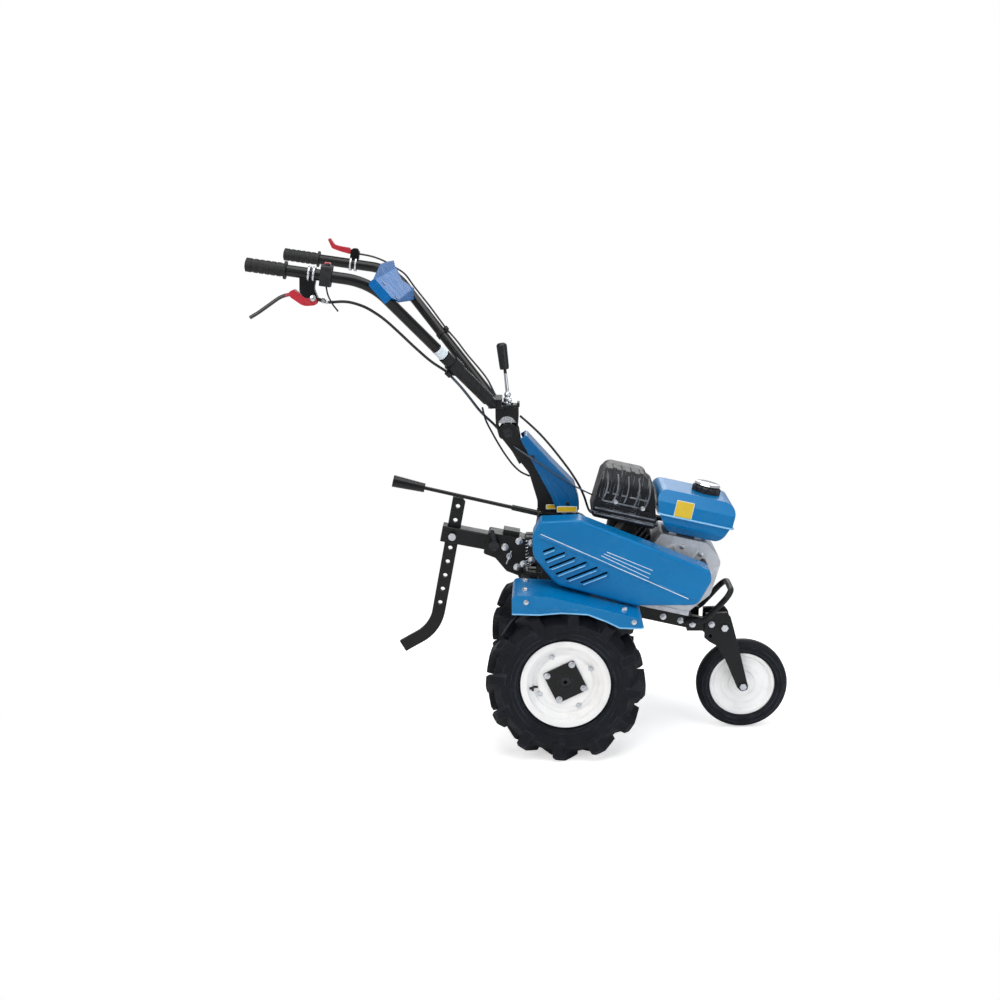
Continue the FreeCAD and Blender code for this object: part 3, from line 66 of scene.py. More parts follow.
# the engine stands square on the sloping rails: u runs forward along them, w stands off them
railSlope = radians(12.5)
railAlong = Vector((cos(railSlope), 0, -sin(railSlope)))
railUp = Vector((sin(railSlope), 0, cos(railSlope)))
engineFoot = at(270, 0, 142.1)
nearSide = Vector((0, -1, 0))
farSide = Vector((0, 1, 0))
skyward = Vector((0, 0, 1))


def onEngine(u, y, w):
    return engineFoot + (railAlong * u + railUp * w + farSide * y) * mm


def seatOn(names, start, direction):
    # where a straight line first meets one of these CAD nodes
    hits = []
    for name in names:
        found, spot, normal, face = nodes[name].ray_cast(start, direction)
        if found:
            hits.append(((spot - start).length, spot))
    if not hits:
        raise ValueError("nothing to sit on: " + names[0])
    return min(hits)[1]


def toLinear(hexCode):
    values = [int(hexCode[i:i + 2], 16) / 255 for i in (1, 3, 5)]
    return tuple(v / 12.92 if v <= 0.04045 else ((v + 0.055) / 1.055) ** 2.4 for v in values) + (1.0,)


def addNode(tree, kind, inputs, **settings):
    node = tree.nodes.new("ShaderNode" + kind)
    for name, value in settings.items():
        setattr(node, name, value)
    for name, value in inputs.items():
        if isinstance(value, bpy.types.NodeSocket):
            tree.links.new(value, node.inputs[name])
        else:
            node.inputs[name].default_value = value
    return node


def newFinish(name, **sockets):
    material = bpy.data.materials.new(name)
    material.use_nodes = True
    tree = material.node_tree
    shader = tree.nodes["Principled BSDF"]
    for socket, value in sockets.items():
        shader.inputs[socket.replace("_", " ")].default_value = value
    place = addNode(tree, "TexCoord", {}).outputs["Object"]
    return material, tree, shader, place


# where each mask of a worn coat starts and ends: how far an edge turns, or the value of the noise
coatMasks = dict(edge=(0.985, 0.8), chip=(0.42, 0.58), broad=(0.3, 0.7), dust=(0.54, 0.8), rough=(0.3, 0.72))
noiseDetail = dict(chip=4.0, broad=4.0, dust=7.0, rough=6.0, grain=3.0)
noiseRoughness = 0.55
bumpStrength = 0.6
# half the width in metres over which a second finish starts
secondBlend = 0.0004


def patches(tree, place, size, mask):
    # soft-edged patches of a real size in millimetres, from 0 to 1
    low, high = coatMasks[mask]
    noise = addNode(tree, "TexNoise", {"Vector": place, "Scale": 1000 / size, "Detail": noiseDetail[mask],
                                       "Roughness": noiseRoughness})
    return addNode(tree, "MapRange", {"Value": noise.outputs["Fac"], "From Min": low,
                                      "From Max": high}).outputs[0]


def mixed(tree, share, first, second):
    return addNode(tree, "Mix", {0: share, 6: first, 7: second}, data_type="RGBA").outputs[2]


def wornFinish(name, coat, **sockets):
    # one coat: broad shade, dust in patches, broken wear along the outer corners (on some coats also a painted
    # highlight), roughness and fine grain
    material, tree, shader, place = newFinish(name, **sockets)
    soft = addNode(tree, "Bevel", {"Radius": coat["corner"] * mm}, samples=4).outputs["Normal"]
    flat = addNode(tree, "NewGeometry", {}).outputs["Normal"]
    turn = addNode(tree, "VectorMath", {0: soft, 1: flat}, operation="DOT_PRODUCT").outputs["Value"]
    edgeStart, edgeEnd = coatMasks["edge"]
    edge = addNode(tree, "MapRange", {"Value": turn, "From Min": edgeStart, "From Max": edgeEnd}).outputs[0]
    broken = patches(tree, place, coat["chip"], "chip")
    edge = addNode(tree, "Math", {0: edge, 1: broken}, operation="MULTIPLY").outputs[0]
    broad = patches(tree, place, coat["patch"], "broad")
    colour = mixed(tree, broad, toLinear(coat["colour"]), toLinear(coat["shade"]))
    dust = patches(tree, place, coat["dustSize"], "dust")
    for mask, most, over in ((dust, "dust", "dustColour"), (edge, "wearAndHighlight", "bare")):
        share = addNode(tree, "MapRange", {"Value": mask, "To Max": coat[most]}).outputs[0]
        colour = mixed(tree, share, colour, toLinear(coat[over]))
    low, high = coat["rough"]
    rough = patches(tree, place, coat["patch"] / 3, "rough")
    rough = addNode(tree, "MapRange", {"Value": rough, "To Min": low, "To Max": high}).outputs[0]
    if "second" in coat:
        # past a given place the piece has another finish, such as a steel rod in a knob
        other = coat["second"]
        split = addNode(tree, "SeparateXYZ", {0: place}).outputs[other["axis"]]
        mask = addNode(tree, "MapRange", {"Value": split, "From Min": other["edge"] - secondBlend,
                                          "From Max": other["edge"] + secondBlend}).outputs[0]
        if other["side"] < 0:
            mask = addNode(tree, "Math", {0: 1.0, 1: mask}, operation="SUBTRACT").outputs[0]
        colour = mixed(tree, mask, colour, toLinear(other["colour"]))
        rough = addNode(tree, "MapRange", {"Value": mask, "To Min": rough, "To Max": other["rough"]}).outputs[0]
        metal = addNode(tree, "Math", {0: mask, 1: other["metallic"]}, operation="MULTIPLY").outputs[0]
        tree.links.new(metal, shader.inputs["Metallic"])
    tree.links.new(colour, shader.inputs["Base Color"])
    tree.links.new(rough, shader.inputs["Roughness"])
    noise = addNode(tree, "TexNoise", {"Vector": place, "Scale": 1000 / coat["grain"],
                                       "Detail": noiseDetail["grain"]})
    bump = addNode(tree, "Bump", {"Height": noise.outputs["Fac"], "Distance": coat["depth"] * mm,
                                  "Strength": bumpStrength, "Normal": soft})
    tree.links.new(bump.outputs[0], shader.inputs["Normal"])
    return material


# stoved enamel on pressed sheet: even deep blue with a soft orange peel, lighter where corners are rubbed.
# orange peel is about 2 mm across on the real coat, drawn at 5 mm so that it shows
blueEnamel = wornFinish("blueEnamel", dict(
    colour="#0074b0", shade="#006ba5", patch=180, dustColour="#5f8fae", dust=0.10, dustSize=34,
    bare="#6fb4e0", wearAndHighlight=0.75, chip=60, corner=2.4, rough=(0.24, 0.36), grain=5, depth=0.05),
    Specular_IOR_Level=0.22, Coat_Weight=0.06, Coat_Roughness=0.1)
# the same enamel a shade deeper on the steering column's shroud: dark blue with a lighter rubbed edge
deepBlueEnamel = wornFinish("deepBlueEnamel", dict(
    colour="#005c94", shade="#005187", patch=120, dustColour="#4d7f9f", dust=0.10, dustSize=34,
    bare="#5aa4d4", wearAndHighlight=0.6, chip=50, corner=2.0, rough=(0.24, 0.36), grain=5, depth=0.05),
    Specular_IOR_Level=0.22, Coat_Weight=0.06)
# pressed lips and rolled rims of the same enamel, painted pale blue along their length as a painted highlight
paintedHighlightBlueEnamel = wornFinish("paintedHighlightBlueEnamel", dict(
    colour="#8ac6ec", shade="#66aee0", patch=40, dustColour="#a9cbe0", dust=0.2, dustSize=20,
    bare="#cfe8f6", wearAndHighlight=0.6, chip=20, corner=0.8, rough=(0.22, 0.32), grain=5, depth=0.03),
    Specular_IOR_Level=0.5, Coat_Weight=0.3)
# injection-moulded panel in coloured polypropylene: even blue with a soft waxy shine
blueMoulding = wornFinish("blueMoulding", dict(
    colour="#0a62a4", shade="#08599a", patch=90, dustColour="#5f93c0", dust=0.08, dustSize=26,
    bare="#7fb2de", wearAndHighlight=0.2, chip=40, corner=1.2, rough=(0.45, 0.55), grain=6, depth=0.01),
    Specular_IOR_Level=0.08)
# polyester powder coat on welded steel: near black, fine even texture, grey on the corners
blackPowderCoat = wornFinish("blackPowderCoat", dict(
    colour="#0e0f12", shade="#090a0c", patch=90, dustColour="#4a4a4c", dust=0.12, dustSize=30,
    bare="#63676e", wearAndHighlight=0.55, chip=26, corner=1.5, rough=(0.34, 0.52), grain=3.5, depth=0.10),
    Specular_IOR_Level=0.3)
# sprayed gloss enamel on bent tube: deep black that mirrors long soft highlights
blackGlossEnamel = wornFinish("blackGlossEnamel", dict(
    colour="#08090b", shade="#0c0d10", patch=120, dustColour="#3a3a3c", dust=0.08, dustSize=40,
    bare="#55585e", wearAndHighlight=0.4, chip=20, corner=1.2, rough=(0.16, 0.28), grain=6, depth=0.03),
    Specular_IOR_Level=0.25, Coat_Weight=0.12)
# heat-proof black on the pressed exhaust guard: near black, its corners painted pale grey, both as rubbed paint
# and as a painted highlight
stoveBlack = wornFinish("stoveBlack", dict(
    colour="#080a0e", shade="#0f1217", patch=60, dustColour="#5b6068", dust=0.14, dustSize=22,
    bare="#b6bdc6", wearAndHighlight=0.95, chip=34, corner=1.8, rough=(0.36, 0.55), grain=3.2, depth=0.10),
    Specular_IOR_Level=0.25)
# the ribs of that guard, where the black has burnt and rubbed to a streaky grey, which is also a painted
# highlight along the ribs
ribWearAndHighlightBlack = wornFinish("ribWearAndHighlightBlack", dict(
    colour="#80858d", shade="#34383e", patch=26, dustColour="#8b9098", dust=0.3, dustSize=12,
    bare="#a9b0b9", wearAndHighlight=0.5, chip=14, corner=1.0, rough=(0.4, 0.6), grain=3.2, depth=0.06),
    Specular_IOR_Level=0.35)
# white baked enamel on pressed rims: clean white, road dust in the corners
whiteEnamel = wornFinish("whiteEnamel", dict(
    colour="#fbfbfb", shade="#f6f6f6", patch=90, dustColour="#c3beb4", dust=0.22, dustSize=34,
    bare="#bdbab3", wearAndHighlight=0.25, chip=18, corner=1.2, rough=(0.28, 0.42), grain=5, depth=0.04), Coat_Weight=0.2)
# red dipped enamel on cast lever jaws; the round lever rod behind the jaw is black
redSettings = dict(
    colour="#b51f30", shade="#a01828", patch=40, dustColour="#cf8f92", dust=0.12, dustSize=12,
    bare="#e0a2a6", wearAndHighlight=0.5, chip=14, corner=1.2, rough=(0.22, 0.34), grain=4, depth=0.04)
redEnamel = wornFinish("redEnamel", redSettings, Coat_Weight=0.3)
leverEnamel = wornFinish("leverEnamel", dict(redSettings, second=dict(
    axis=0, edge=at(-680, 0, 0).x, side=-1, colour="#0b0c0e", rough=0.3, metallic=0.0)), Coat_Weight=0.3)
# zinc plate on bolts and pins: bright bluish grey with dull blooms
zincPlate = wornFinish("zincPlate", dict(
    colour="#d4d7dc", shade="#b9bdc3", patch=24, dustColour="#8a8680", dust=0.4, dustSize=9,
    bare="#eceef0", wearAndHighlight=0.4, chip=8, corner=0.7, rough=(0.2, 0.36), grain=3, depth=0.03), Metallic=1.0)
# hot-rolled steel left dark, with brown blooms
darkSteel = wornFinish("darkSteel", dict(
    colour="#3c3e43", shade="#2b2d31", patch=20, dustColour="#5b4a3c", dust=0.4, dustSize=12,
    bare="#8f9399", wearAndHighlight=0.6, chip=12, corner=0.8, rough=(0.3, 0.48), grain=3, depth=0.05), Metallic=0.9)
# die-cast aluminium: pale sandy skin, brighter on machined corners
castAluminium = wornFinish("castAluminium", dict(
    colour="#cfd2d7", shade="#bcc0c6", patch=60, dustColour="#77767a", dust=0.5, dustSize=20,
    bare="#f0f1f2", wearAndHighlight=0.7, chip=24, corner=1.8, rough=(0.42, 0.58), grain=3.2, depth=0.2), Metallic=0.6)
# the same casting made dark grey, bright only on its corners
darkCasting = wornFinish("darkCasting", dict(
    colour="#2d2e31", shade="#1d1e21", patch=36, dustColour="#6a6660", dust=0.5, dustSize=16,
    bare="#a7aab0", wearAndHighlight=0.8, chip=22, corner=1.6, rough=(0.4, 0.6), grain=3.2, depth=0.2), Metallic=0.5)
# bright chromium on rods and the tank cap
chromePlate = wornFinish("chromePlate", dict(
    colour="#dcdee2", shade="#cfd2d7", patch=40, dustColour="#9a9da2", dust=0.3, dustSize=14,
    bare="#f2f3f5", wearAndHighlight=0.3, chip=10, corner=0.6, rough=(0.08, 0.18), grain=5, depth=0.01), Metallic=1.0)
# the lock lever: a matt moulded knob above a bright chromed rod
leverKnob = wornFinish("leverKnob", dict(
    colour="#101114", shade="#0a0b0d", patch=20, dustColour="#55565a", dust=0.15, dustSize=10,
    bare="#6d7076", wearAndHighlight=0.6, chip=10, corner=1.0, rough=(0.3, 0.45), grain=3, depth=0.08,
    second=dict(axis=2, edge=at(0, 0, 771).z, side=-1, colour="#c9ccd2", rough=0.2, metallic=0.9)),
    Specular_IOR_Level=0.4)
# moulded tyre rubber: dull blue-black, dusty in the treads, scuffed grey on the lug corners.
# the skin's grain is a fraction of a millimetre, drawn at 4 mm
tyreRubber = wornFinish("tyreRubber", dict(
    colour="#0a0e17", shade="#070a11", patch=70, dustColour="#454b58", dust=0.2, dustSize=30,
    bare="#525b69", wearAndHighlight=0.85, chip=40, corner=2.0, rough=(0.5, 0.7), grain=4, depth=0.2),
    Specular_IOR_Level=0.22)
# soft grip rubber, matt and slightly greasy
gripRubber = wornFinish("gripRubber", dict(
    colour="#0f1013", shade="#0a0b0d", patch=30, dustColour="#4a4a4c", dust=0.15, dustSize=14,
    bare="#53565c", wearAndHighlight=0.7, chip=16, corner=1.0, rough=(0.42, 0.6), grain=2.6, depth=0.12),
    Specular_IOR_Level=0.35)
# glass-filled nylon mouldings: black with a fine spark-eroded grain
blackMoulding = wornFinish("blackMoulding", dict(
    colour="#15171b", shade="#0f1114", patch=60, dustColour="#5d5f64", dust=0.18, dustSize=24,
    bare="#787d85", wearAndHighlight=0.7, chip=26, corner=1.5, rough=(0.36, 0.52), grain=3, depth=0.1),
    Specular_IOR_Level=0.35)
# extruded vinyl cable sheath, smooth and waxy; one lead is a bare grey spiral
cableSheath = wornFinish("cableSheath", dict(
    colour="#0e0f12", shade="#131519", patch=40, dustColour="#4d4d4f", dust=0.1, dustSize=20,
    bare="#3a3b3e", wearAndHighlight=0.0, chip=10, corner=0.5, rough=(0.3, 0.42), grain=4, depth=0.04),
    Specular_IOR_Level=0.4)
spiralLead = wornFinish("spiralLead", dict(
    colour="#3d4a58", shade="#2f3a46", patch=30, dustColour="#8f9498", dust=0.2, dustSize=12,
    bare="#9a9c9c", wearAndHighlight=0.0, chip=10, corner=0.5, rough=(0.34, 0.48), grain=3, depth=0.06))
# printed vinyl film left blank: yellow panel, pale border and lines
yellowFilm = wornFinish("yellowFilm", dict(
    colour="#dcbc2e", shade="#d2b126", patch=30, dustColour="#b9a765", dust=0.2, dustSize=14,
    bare="#efe08a", wearAndHighlight=0.2, chip=8, corner=0.3, rough=(0.28, 0.4), grain=6, depth=0.02))
paleFilm = wornFinish("paleFilm", dict(
    colour="#dfe9ef", shade="#cfdde6", patch=40, dustColour="#a8b8c2", dust=0.2, dustSize=14,
    bare="#f2f6f8", wearAndHighlight=0.2, chip=8, corner=0.3, rough=(0.28, 0.4), grain=6, depth=0.02))

finishOf = {
    blueEnamel: "belt_guard fender_left fender_right fuel_tank",
    deepBlueEnamel: "column_cover",
    blueMoulding: "handle_cover",
    whiteEnamel: "drive_rim_left drive_rim_right front_disc",
    blackPowderCoat: "frame bumper fender_straps guard_back column head handle_bracket cross_bar front_leg "
                     "drawbar stake hitch_bracket drive_hub_left drive_hub_right",
    blackGlossEnamel: "handle_bar_left handle_bar_right gear_lever perch_left perch_right",
    redEnamel: "clutch_lever_left",
    leverEnamel: "clutch_lever_right",
    leverKnob: "lock_lever",
    zincPlate: "front_axle leg_pivot tilt_disc stake_pin",
    darkSteel: "axle tilt_pin hitch_pin",
    castAluminium: "crankcase",
    darkCasting: "gearbox cylinder carburettor",
    gripRubber: "grip_left grip_right cable_clips",
    tyreRubber: "drive_tyre_left drive_tyre_right front_tyre",
    stoveBlack: "muffler_guard",
    blackMoulding: "air_cleaner fan_cover recoil_starter fuel_cap switch_box",
    cableSheath: "bar_cables lower_cables",
}
for material, names in finishOf.items():
    for name in names.split():
        nodes[name].data.materials.clear()
        nodes[name].data.materials.append(material)
print("finishes on the CAD nodes")

creaseAngle = radians(38)
# how far stubs start inside their surface
stubSunk = 0.6


def placed(name, data):
    thing = bpy.data.objects.new(name, data)
    bpy.context.scene.collection.objects.link(thing)
    return thing


def finishPiece(name, bm, material, body):
    bmesh.ops.recalc_face_normals(bm, faces=bm.faces)
    mesh = bpy.data.meshes.new(name)
    bm.to_mesh(mesh)
    bm.free()
    mesh.materials.append(material)
    for polygon in mesh.polygons:
        polygon.use_smooth = True
    mesh.set_sharp_from_angle(angle=creaseAngle)
    piece = placed(name, mesh)
    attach(piece, body)


def standing(spot, direction):
    # turns local z to this direction at this spot
    return Matrix.Translation(spot) @ Vector(direction).to_track_quat("Z", "Y").to_matrix().to_4x4()


def roundOff(bm, edges, offset, segments):
    bmesh.ops.bevel(bm, geom=edges, offset=offset * mm, segments=segments, affect="EDGES", profile=0.5,
                    material=-1)


def edgesOf(verts):
    # each edge once, always in the same order
    return list(dict.fromkeys(edge for vert in verts for edge in vert.link_edges))


def addStub(bm, spot, direction, radius, length, segments=24, tip=1.0, chamfer=0.0, lift=0.0):
    # round or hexagonal stub that starts just inside the surface it stands on, or lifted off it
    spot = spot + Vector(direction) * lift * mm
    place = standing(spot, direction) @ Matrix.Translation((0, 0, (length - stubSunk) / 2 * mm))
    made = bmesh.ops.create_cone(bm, cap_ends=True, segments=segments, radius1=radius * mm,
                                 radius2=radius * tip * mm, depth=(length + stubSunk) * mm, matrix=place)
    if chamfer:
        away = Vector(direction).normalized()
        top = max(v.co.dot(away) for v in made["verts"])
        rim = [e for e in edgesOf(made["verts"]) if all(v.co.dot(away) > top - 1e-5 for v in e.verts)]
        roundOff(bm, rim, chamfer, 2)


def addStubs(bm, spot, direction, stubs):
    for stub in stubs:
        addStub(bm, spot, direction, **stub)


# a bolt in shares of its thread: washer, hexagon head, end that stands out past it
boltShape = dict(washer=1.1, thick=0.2, washerEdge=0.05, head=0.92, high=0.62, headEdge=0.12,
                 end=0.46, endLift=0.8, endEdge=0.1)


def addBolt(bm, spot, direction, size, stub=0.0):
    # size is the thread in millimetres, stub the length of the end past the head
    away = Vector(direction).normalized()
    washer, thick, washerEdge, head, high, headEdge, end, endLift, endEdge = (
        size * share for share in boltShape.values())
    addStub(bm, spot, away, washer, thick, chamfer=washerEdge)
    addStub(bm, spot, away, head, high, segments=6, chamfer=headEdge, lift=thick)
    if stub:
        addStub(bm, spot, away, end, stub, segments=16, chamfer=endEdge, lift=endLift)


def boltRow(name, body, spots, settings):
    bm = bmesh.new()
    for spot, direction in spots:
        addBolt(bm, spot, direction, settings["size"], settings.get("stub", 0.0))
    finishPiece(name, bm, zincPlate, body)


def bothSides(names, settings):
    # where lines across the machine, from each side in turn, first meet these CAD nodes
    return [(seatOn(names, at(x, away.y * settings["start"], z), -away), away)
            for x, z in settings["places"] for away in (nearSide, farSide)]


def seatAbove(name, settings):
    # where lines straight down first meet one CAD node
    return [(seatOn([name], at(x, y, settings["above"]), -skyward), skyward)
            for y in settings["y"] for x in settings["x"]]


def spread(low, high, steps):
    return [low + (high - low) * step / steps for step in range(steps + 1)]


def sweepTube(bm, points, radius, segments=8):
    # round wire swept along these points, closed at both ends
    points = [point for index, point in enumerate(points)
              if index == 0 or (point - points[index - 1]).length > 1e-5]
    ahead = [(points[min(i + 1, len(points) - 1)] - points[max(i - 1, 0)]).normalized()
             for i in range(len(points))]
    turn = ahead[0].to_track_quat("Z", "Y")
    place = Matrix.Translation(points[0]) @ turn.to_matrix().to_4x4()
    ring = bmesh.ops.create_circle(bm, cap_ends=True, segments=segments, radius=radius * mm, matrix=place)
    edges = edgesOf(ring["verts"])
    for index in range(1, len(points)):
        turn = ahead[index - 1].rotation_difference(ahead[index]) @ turn
        following = Matrix.Translation(points[index]) @ turn.to_matrix().to_4x4()
        grown = bmesh.ops.extrude_edge_only(bm, edges=edges)["geom"]
        verts = [part for part in grown if isinstance(part, bmesh.types.BMVert)]
        edges = [part for part in grown
                 if isinstance(part, bmesh.types.BMEdge) and all(v in verts for v in part.verts)]
        bmesh.ops.transform(bm, matrix=following @ place.inverted(), verts=verts)
        place = following
    bmesh.ops.edgeloop_fill(bm, edges=edges)


def spinRound(bm, verts, edges, centre, axis, steps):
    bmesh.ops.spin(bm, geom=verts + edges, cent=centre, axis=axis, angle=2 * pi, steps=steps,
                   use_merge=True, use_duplicate=False)


def turnedRing(bm, spot, centre, radius, steps, segments=6):
    # round wire turned about a line across the machine
    ring = bmesh.ops.create_circle(bm, segments=segments, radius=radius * mm, matrix=Matrix.Translation(spot))
    spinRound(bm, ring["verts"], edgesOf(ring["verts"]), centre, farSide, steps)


def seamPoints(name, point, normal):
    # the outline of a CAD node where a plane cuts it, in order round it
    bm = bmesh.new()
    bm.from_mesh(nodes[name].data)
    bmesh.ops.remove_doubles(bm, verts=bm.verts, dist=1e-5)
    cut = bmesh.ops.bisect_plane(bm, geom=bm.verts[:] + bm.edges[:] + bm.faces[:], plane_co=point,
                                 plane_no=normal)
    edges = [part for part in cut["geom_cut"] if isinstance(part, bmesh.types.BMEdge)]
    loops = []
    while edges:
        edge = edges.pop()
        chain = list(edge.verts)
        step = edge
        while step:
            step = next((e for e in chain[-1].link_edges if e in edges), None)
            if step:
                edges.remove(step)
                chain.append(step.other_vert(chain[-1]))
        loops.append([vert.co.copy() for vert in chain])
    bm.free()
    return max(loops, key=lambda loop: sum((b - a).length for a, b in zip(loop, loop[1:])))


# drive wheels: ring of hub bolts, wider ring of disc bolts, valve stem with its cap, raised sidewall lines
wheelTrim = dict(
    start=330,
    hubBolts=dict(ring=50, turn=71, stubs=(
        dict(radius=8.6, length=1.6, chamfer=0.5),
        dict(lift=1.4, radius=7.0, length=4.6, segments=6, chamfer=0.9))),
    discBolts=dict(ring=72, turn=28, stubs=(
        dict(radius=8.4, length=1.0, chamfer=0.3),
        dict(lift=0.8, radius=6.2, length=2.6, segments=6, tip=0.94, chamfer=0.5))),
    stemPlace=(-84, 226, -17.5), stem=(
        dict(radius=4.4, length=12, segments=16, tip=0.8),
        dict(lift=12, radius=3.2, length=7, segments=12, tip=0.95, chamfer=0.5)),
    lines=(123, 129, 141), lineWidth=1.1, lineSteps=96, tyreMiddle=217, tyreStart=90,
    outerTurn=7.5, innerTurn=22.5)
for side, hand in ((-1, "right"), (1, "left")):
    away = Vector((0, side, 0))
    for row in ("hubBolts", "discBolts"):
        bolts = wheelTrim[row]
        bm = bmesh.new()
        for quarter in range(4):
            a = radians(bolts["turn"] + 90 * quarter)
            start = at(bolts["ring"] * cos(a), side * wheelTrim["start"], bolts["ring"] * sin(a))
            spot = seatOn(["drive_rim_" + hand, "drive_hub_" + hand], start, -away)
            addStubs(bm, spot, away, bolts["stubs"])
        finishPiece(row + "_" + hand, bm, zincPlate, "wheels")
    bm = bmesh.new()
    x, y, z = wheelTrim["stemPlace"]
    addStubs(bm, at(x, side * y, z), away, wheelTrim["stem"])
    finishPiece("valveStem_" + hand, bm, gripRubber, "wheels")
    bm = bmesh.new()
    for radius in wheelTrim["lines"]:
        for face in (-1, 1):
            a = radians(wheelTrim["outerTurn" if face == side else "innerTurn"])
            y = side * wheelTrim["tyreMiddle"] + face * wheelTrim["tyreStart"]
            start = at(radius * cos(a), y, radius * sin(a))
            spot = seatOn(["drive_tyre_" + hand], start, Vector((0, -face, 0)))
            turnedRing(bm, axleCentre + Vector((radius * mm, spot.y, 0)), axleCentre + Vector((0, spot.y, 0)),
                       wheelTrim["lineWidth"], wheelTrim["lineSteps"])
    finishPiece("sidewallLines_" + hand, bm, tyreRubber, "wheels")
print("drive wheels dressed")

# front wheel: raised lines round the tyre
frontWheel = joints["front_wheel_spin"]
frontTrim = dict(lines=(97, 108), lineWidth=0.9, lineSteps=80, start=80)
bm = bmesh.new()
for radius in frontTrim["lines"]:
    for face in (-1, 1):
        start = frontWheel + Vector((radius, face * frontTrim["start"], 0)) * mm
        spot = seatOn(["front_tyre"], start, Vector((0, -face, 0)))
        turnedRing(bm, spot, Vector((frontWheel.x, spot.y, frontWheel.z)), frontTrim["lineWidth"],
                   frontTrim["lineSteps"])
finishPiece("frontTyreLines", bm, tyreRubber, "front_wheel")
print("front wheel dressed")

# fenders: bolts, and the rolled bead along the waved lower edge of the skirt, painted pale as a painted
# highlight
fenderBolts = dict(places=((-100, 228), (172, 176)), start=330, size=6)
strapBolts = dict(x=(-104, 150), y=(136, 225), above=320, size=8)
fenderBead = dict(skirt=278, near=0.3, under=202, corner=(150, 166), inset=0.8, wire=2.2)
for side, hand in ((-1, "right"), (1, "left")):
    away = Vector((0, side, 0))
    fender = "fender_" + hand
    spots = [(seatOn([fender], at(x, side * fenderBolts["start"], z), -away), away)
             for x, z in fenderBolts["places"]]
    boltRow("fenderBolts_" + hand, "chassis", spots, fenderBolts)
    spots = [(seatOn([fender], at(x, side * y, strapBolts["above"]), -skyward), skyward)
             for x in strapBolts["x"] for y in strapBolts["y"]]
    boltRow("strapBolts_" + hand, "chassis", spots, strapBolts)
    # the corners of the skirt's lower edge, from back to front
    corner = at(fenderBead["corner"][0], 0, fenderBead["corner"][1])
    highest = at(0, 0, fenderBead["under"]).z
    lowest = {}
    for vert in nodes[fender].data.vertices:
        spot = vert.co
        onSkirt = abs(abs(spot.y) / mm - fenderBead["skirt"]) < fenderBead["near"]
        if onSkirt and spot.z < highest and (spot.x < corner.x or spot.z < corner.z):
            x = round(spot.x, 4)
            lowest[x] = min(spot.z, lowest.get(x, spot.z))
    bm = bmesh.new()
    y = side * (fenderBead["skirt"] - fenderBead["inset"]) * mm
    sweepTube(bm, [Vector((x, y, lowest[x])) for x in sorted(lowest)], fenderBead["wire"])
    finishPiece("fenderBead_" + hand, bm, paintedHighlightBlueEnamel, "chassis")

# frame and engine feet
frameBolts = dict(places=((263, 124), (310, 113), (340, 107)), start=200, size=8, stub=3)
boltRow("frameBolts", "chassis", bothSides(["frame", "bumper"], frameBolts), frameBolts)
engineBolts = dict(places=((-73, -64), (-73, 74)), above=60, size=8)
spots = [(seatOn(["crankcase"], onEngine(u, y, engineBolts["above"]), -railUp), railUp)
         for u, y in engineBolts["places"]]
boltRow("engineBolts", "chassis", spots, engineBolts)

# folding leg: a bolt on each ear, its seat found 8 mm behind its centre
legBolt = dict(hole=(396, 94), places=((388, 96),), start=80, size=8)
bm = bmesh.new()
centre = at(legBolt["hole"][0], 0, legBolt["hole"][1])
for ear, away in bothSides(["front_leg"], legBolt):
    addBolt(bm, Vector((centre.x, ear.y, centre.z)), away, legBolt["size"])
finishPiece("legLockBolts", bm, zincPlate, "leg")
print("chassis bolts")

# belt guard: pale lip under each louvre as a painted highlight, pale line on the ridge as a painted highlight,
# three short lines behind the louvres
guardTrim = dict(
    louvres=((-57, 334, 32), (-51, 312, 55), (-41, 292, 72), (-24, 275, 85), (3, 261, 86), (40, 252, 74)),
    rise=22, lipUnder=4.2, lipShares=(0.06, 0.28, 0.5, 0.72, 0.94), lip=1.5, start=-300,
    # the first line is a pale painted highlight along the ridge, the other three are the short lines
    lines=(((-63, 383), (316, 212), 1.1), ((92, 326), (214, 267), 0.9),
           ((99, 331), (218, 277), 0.9), ((106, 336), (223, 287), 0.9)), lineSteps=12, wireSides=6)
guard = ["belt_guard"]
rise = radians(guardTrim["rise"])
lean = Vector((cos(rise), 0, sin(rise)))
bm = bmesh.new()
for x, z, length in guardTrim["louvres"]:
    start = at(x, guardTrim["start"], z) - Vector((-lean.z, 0, lean.x)) * guardTrim["lipUnder"] * mm
    points = [seatOn(guard, start + lean * length * share * mm, farSide) for share in guardTrim["lipShares"]]
    sweepTube(bm, points, guardTrim["lip"])
finishPiece("louvreLips", bm, paintedHighlightBlueEnamel, "chassis")
bm = bmesh.new()
for (startX, startZ), (endX, endZ), wire in guardTrim["lines"]:
    points = [seatOn(guard, at(startX + (endX - startX) * share, guardTrim["start"],
                               startZ + (endZ - startZ) * share), farSide)
              for share in spread(0, 1, guardTrim["lineSteps"])]
    sweepTube(bm, points, wire, guardTrim["wireSides"])
finishPiece("guardLinesAndRidgeHighlight", bm, paleFilm, "chassis")


# blank film: how far it stands over its border, how much wider the border is, thickness, corners
filmShape = dict(lift=0.25, margin=3.2, thick=0.6, corner=2.5, cornerSteps=3)


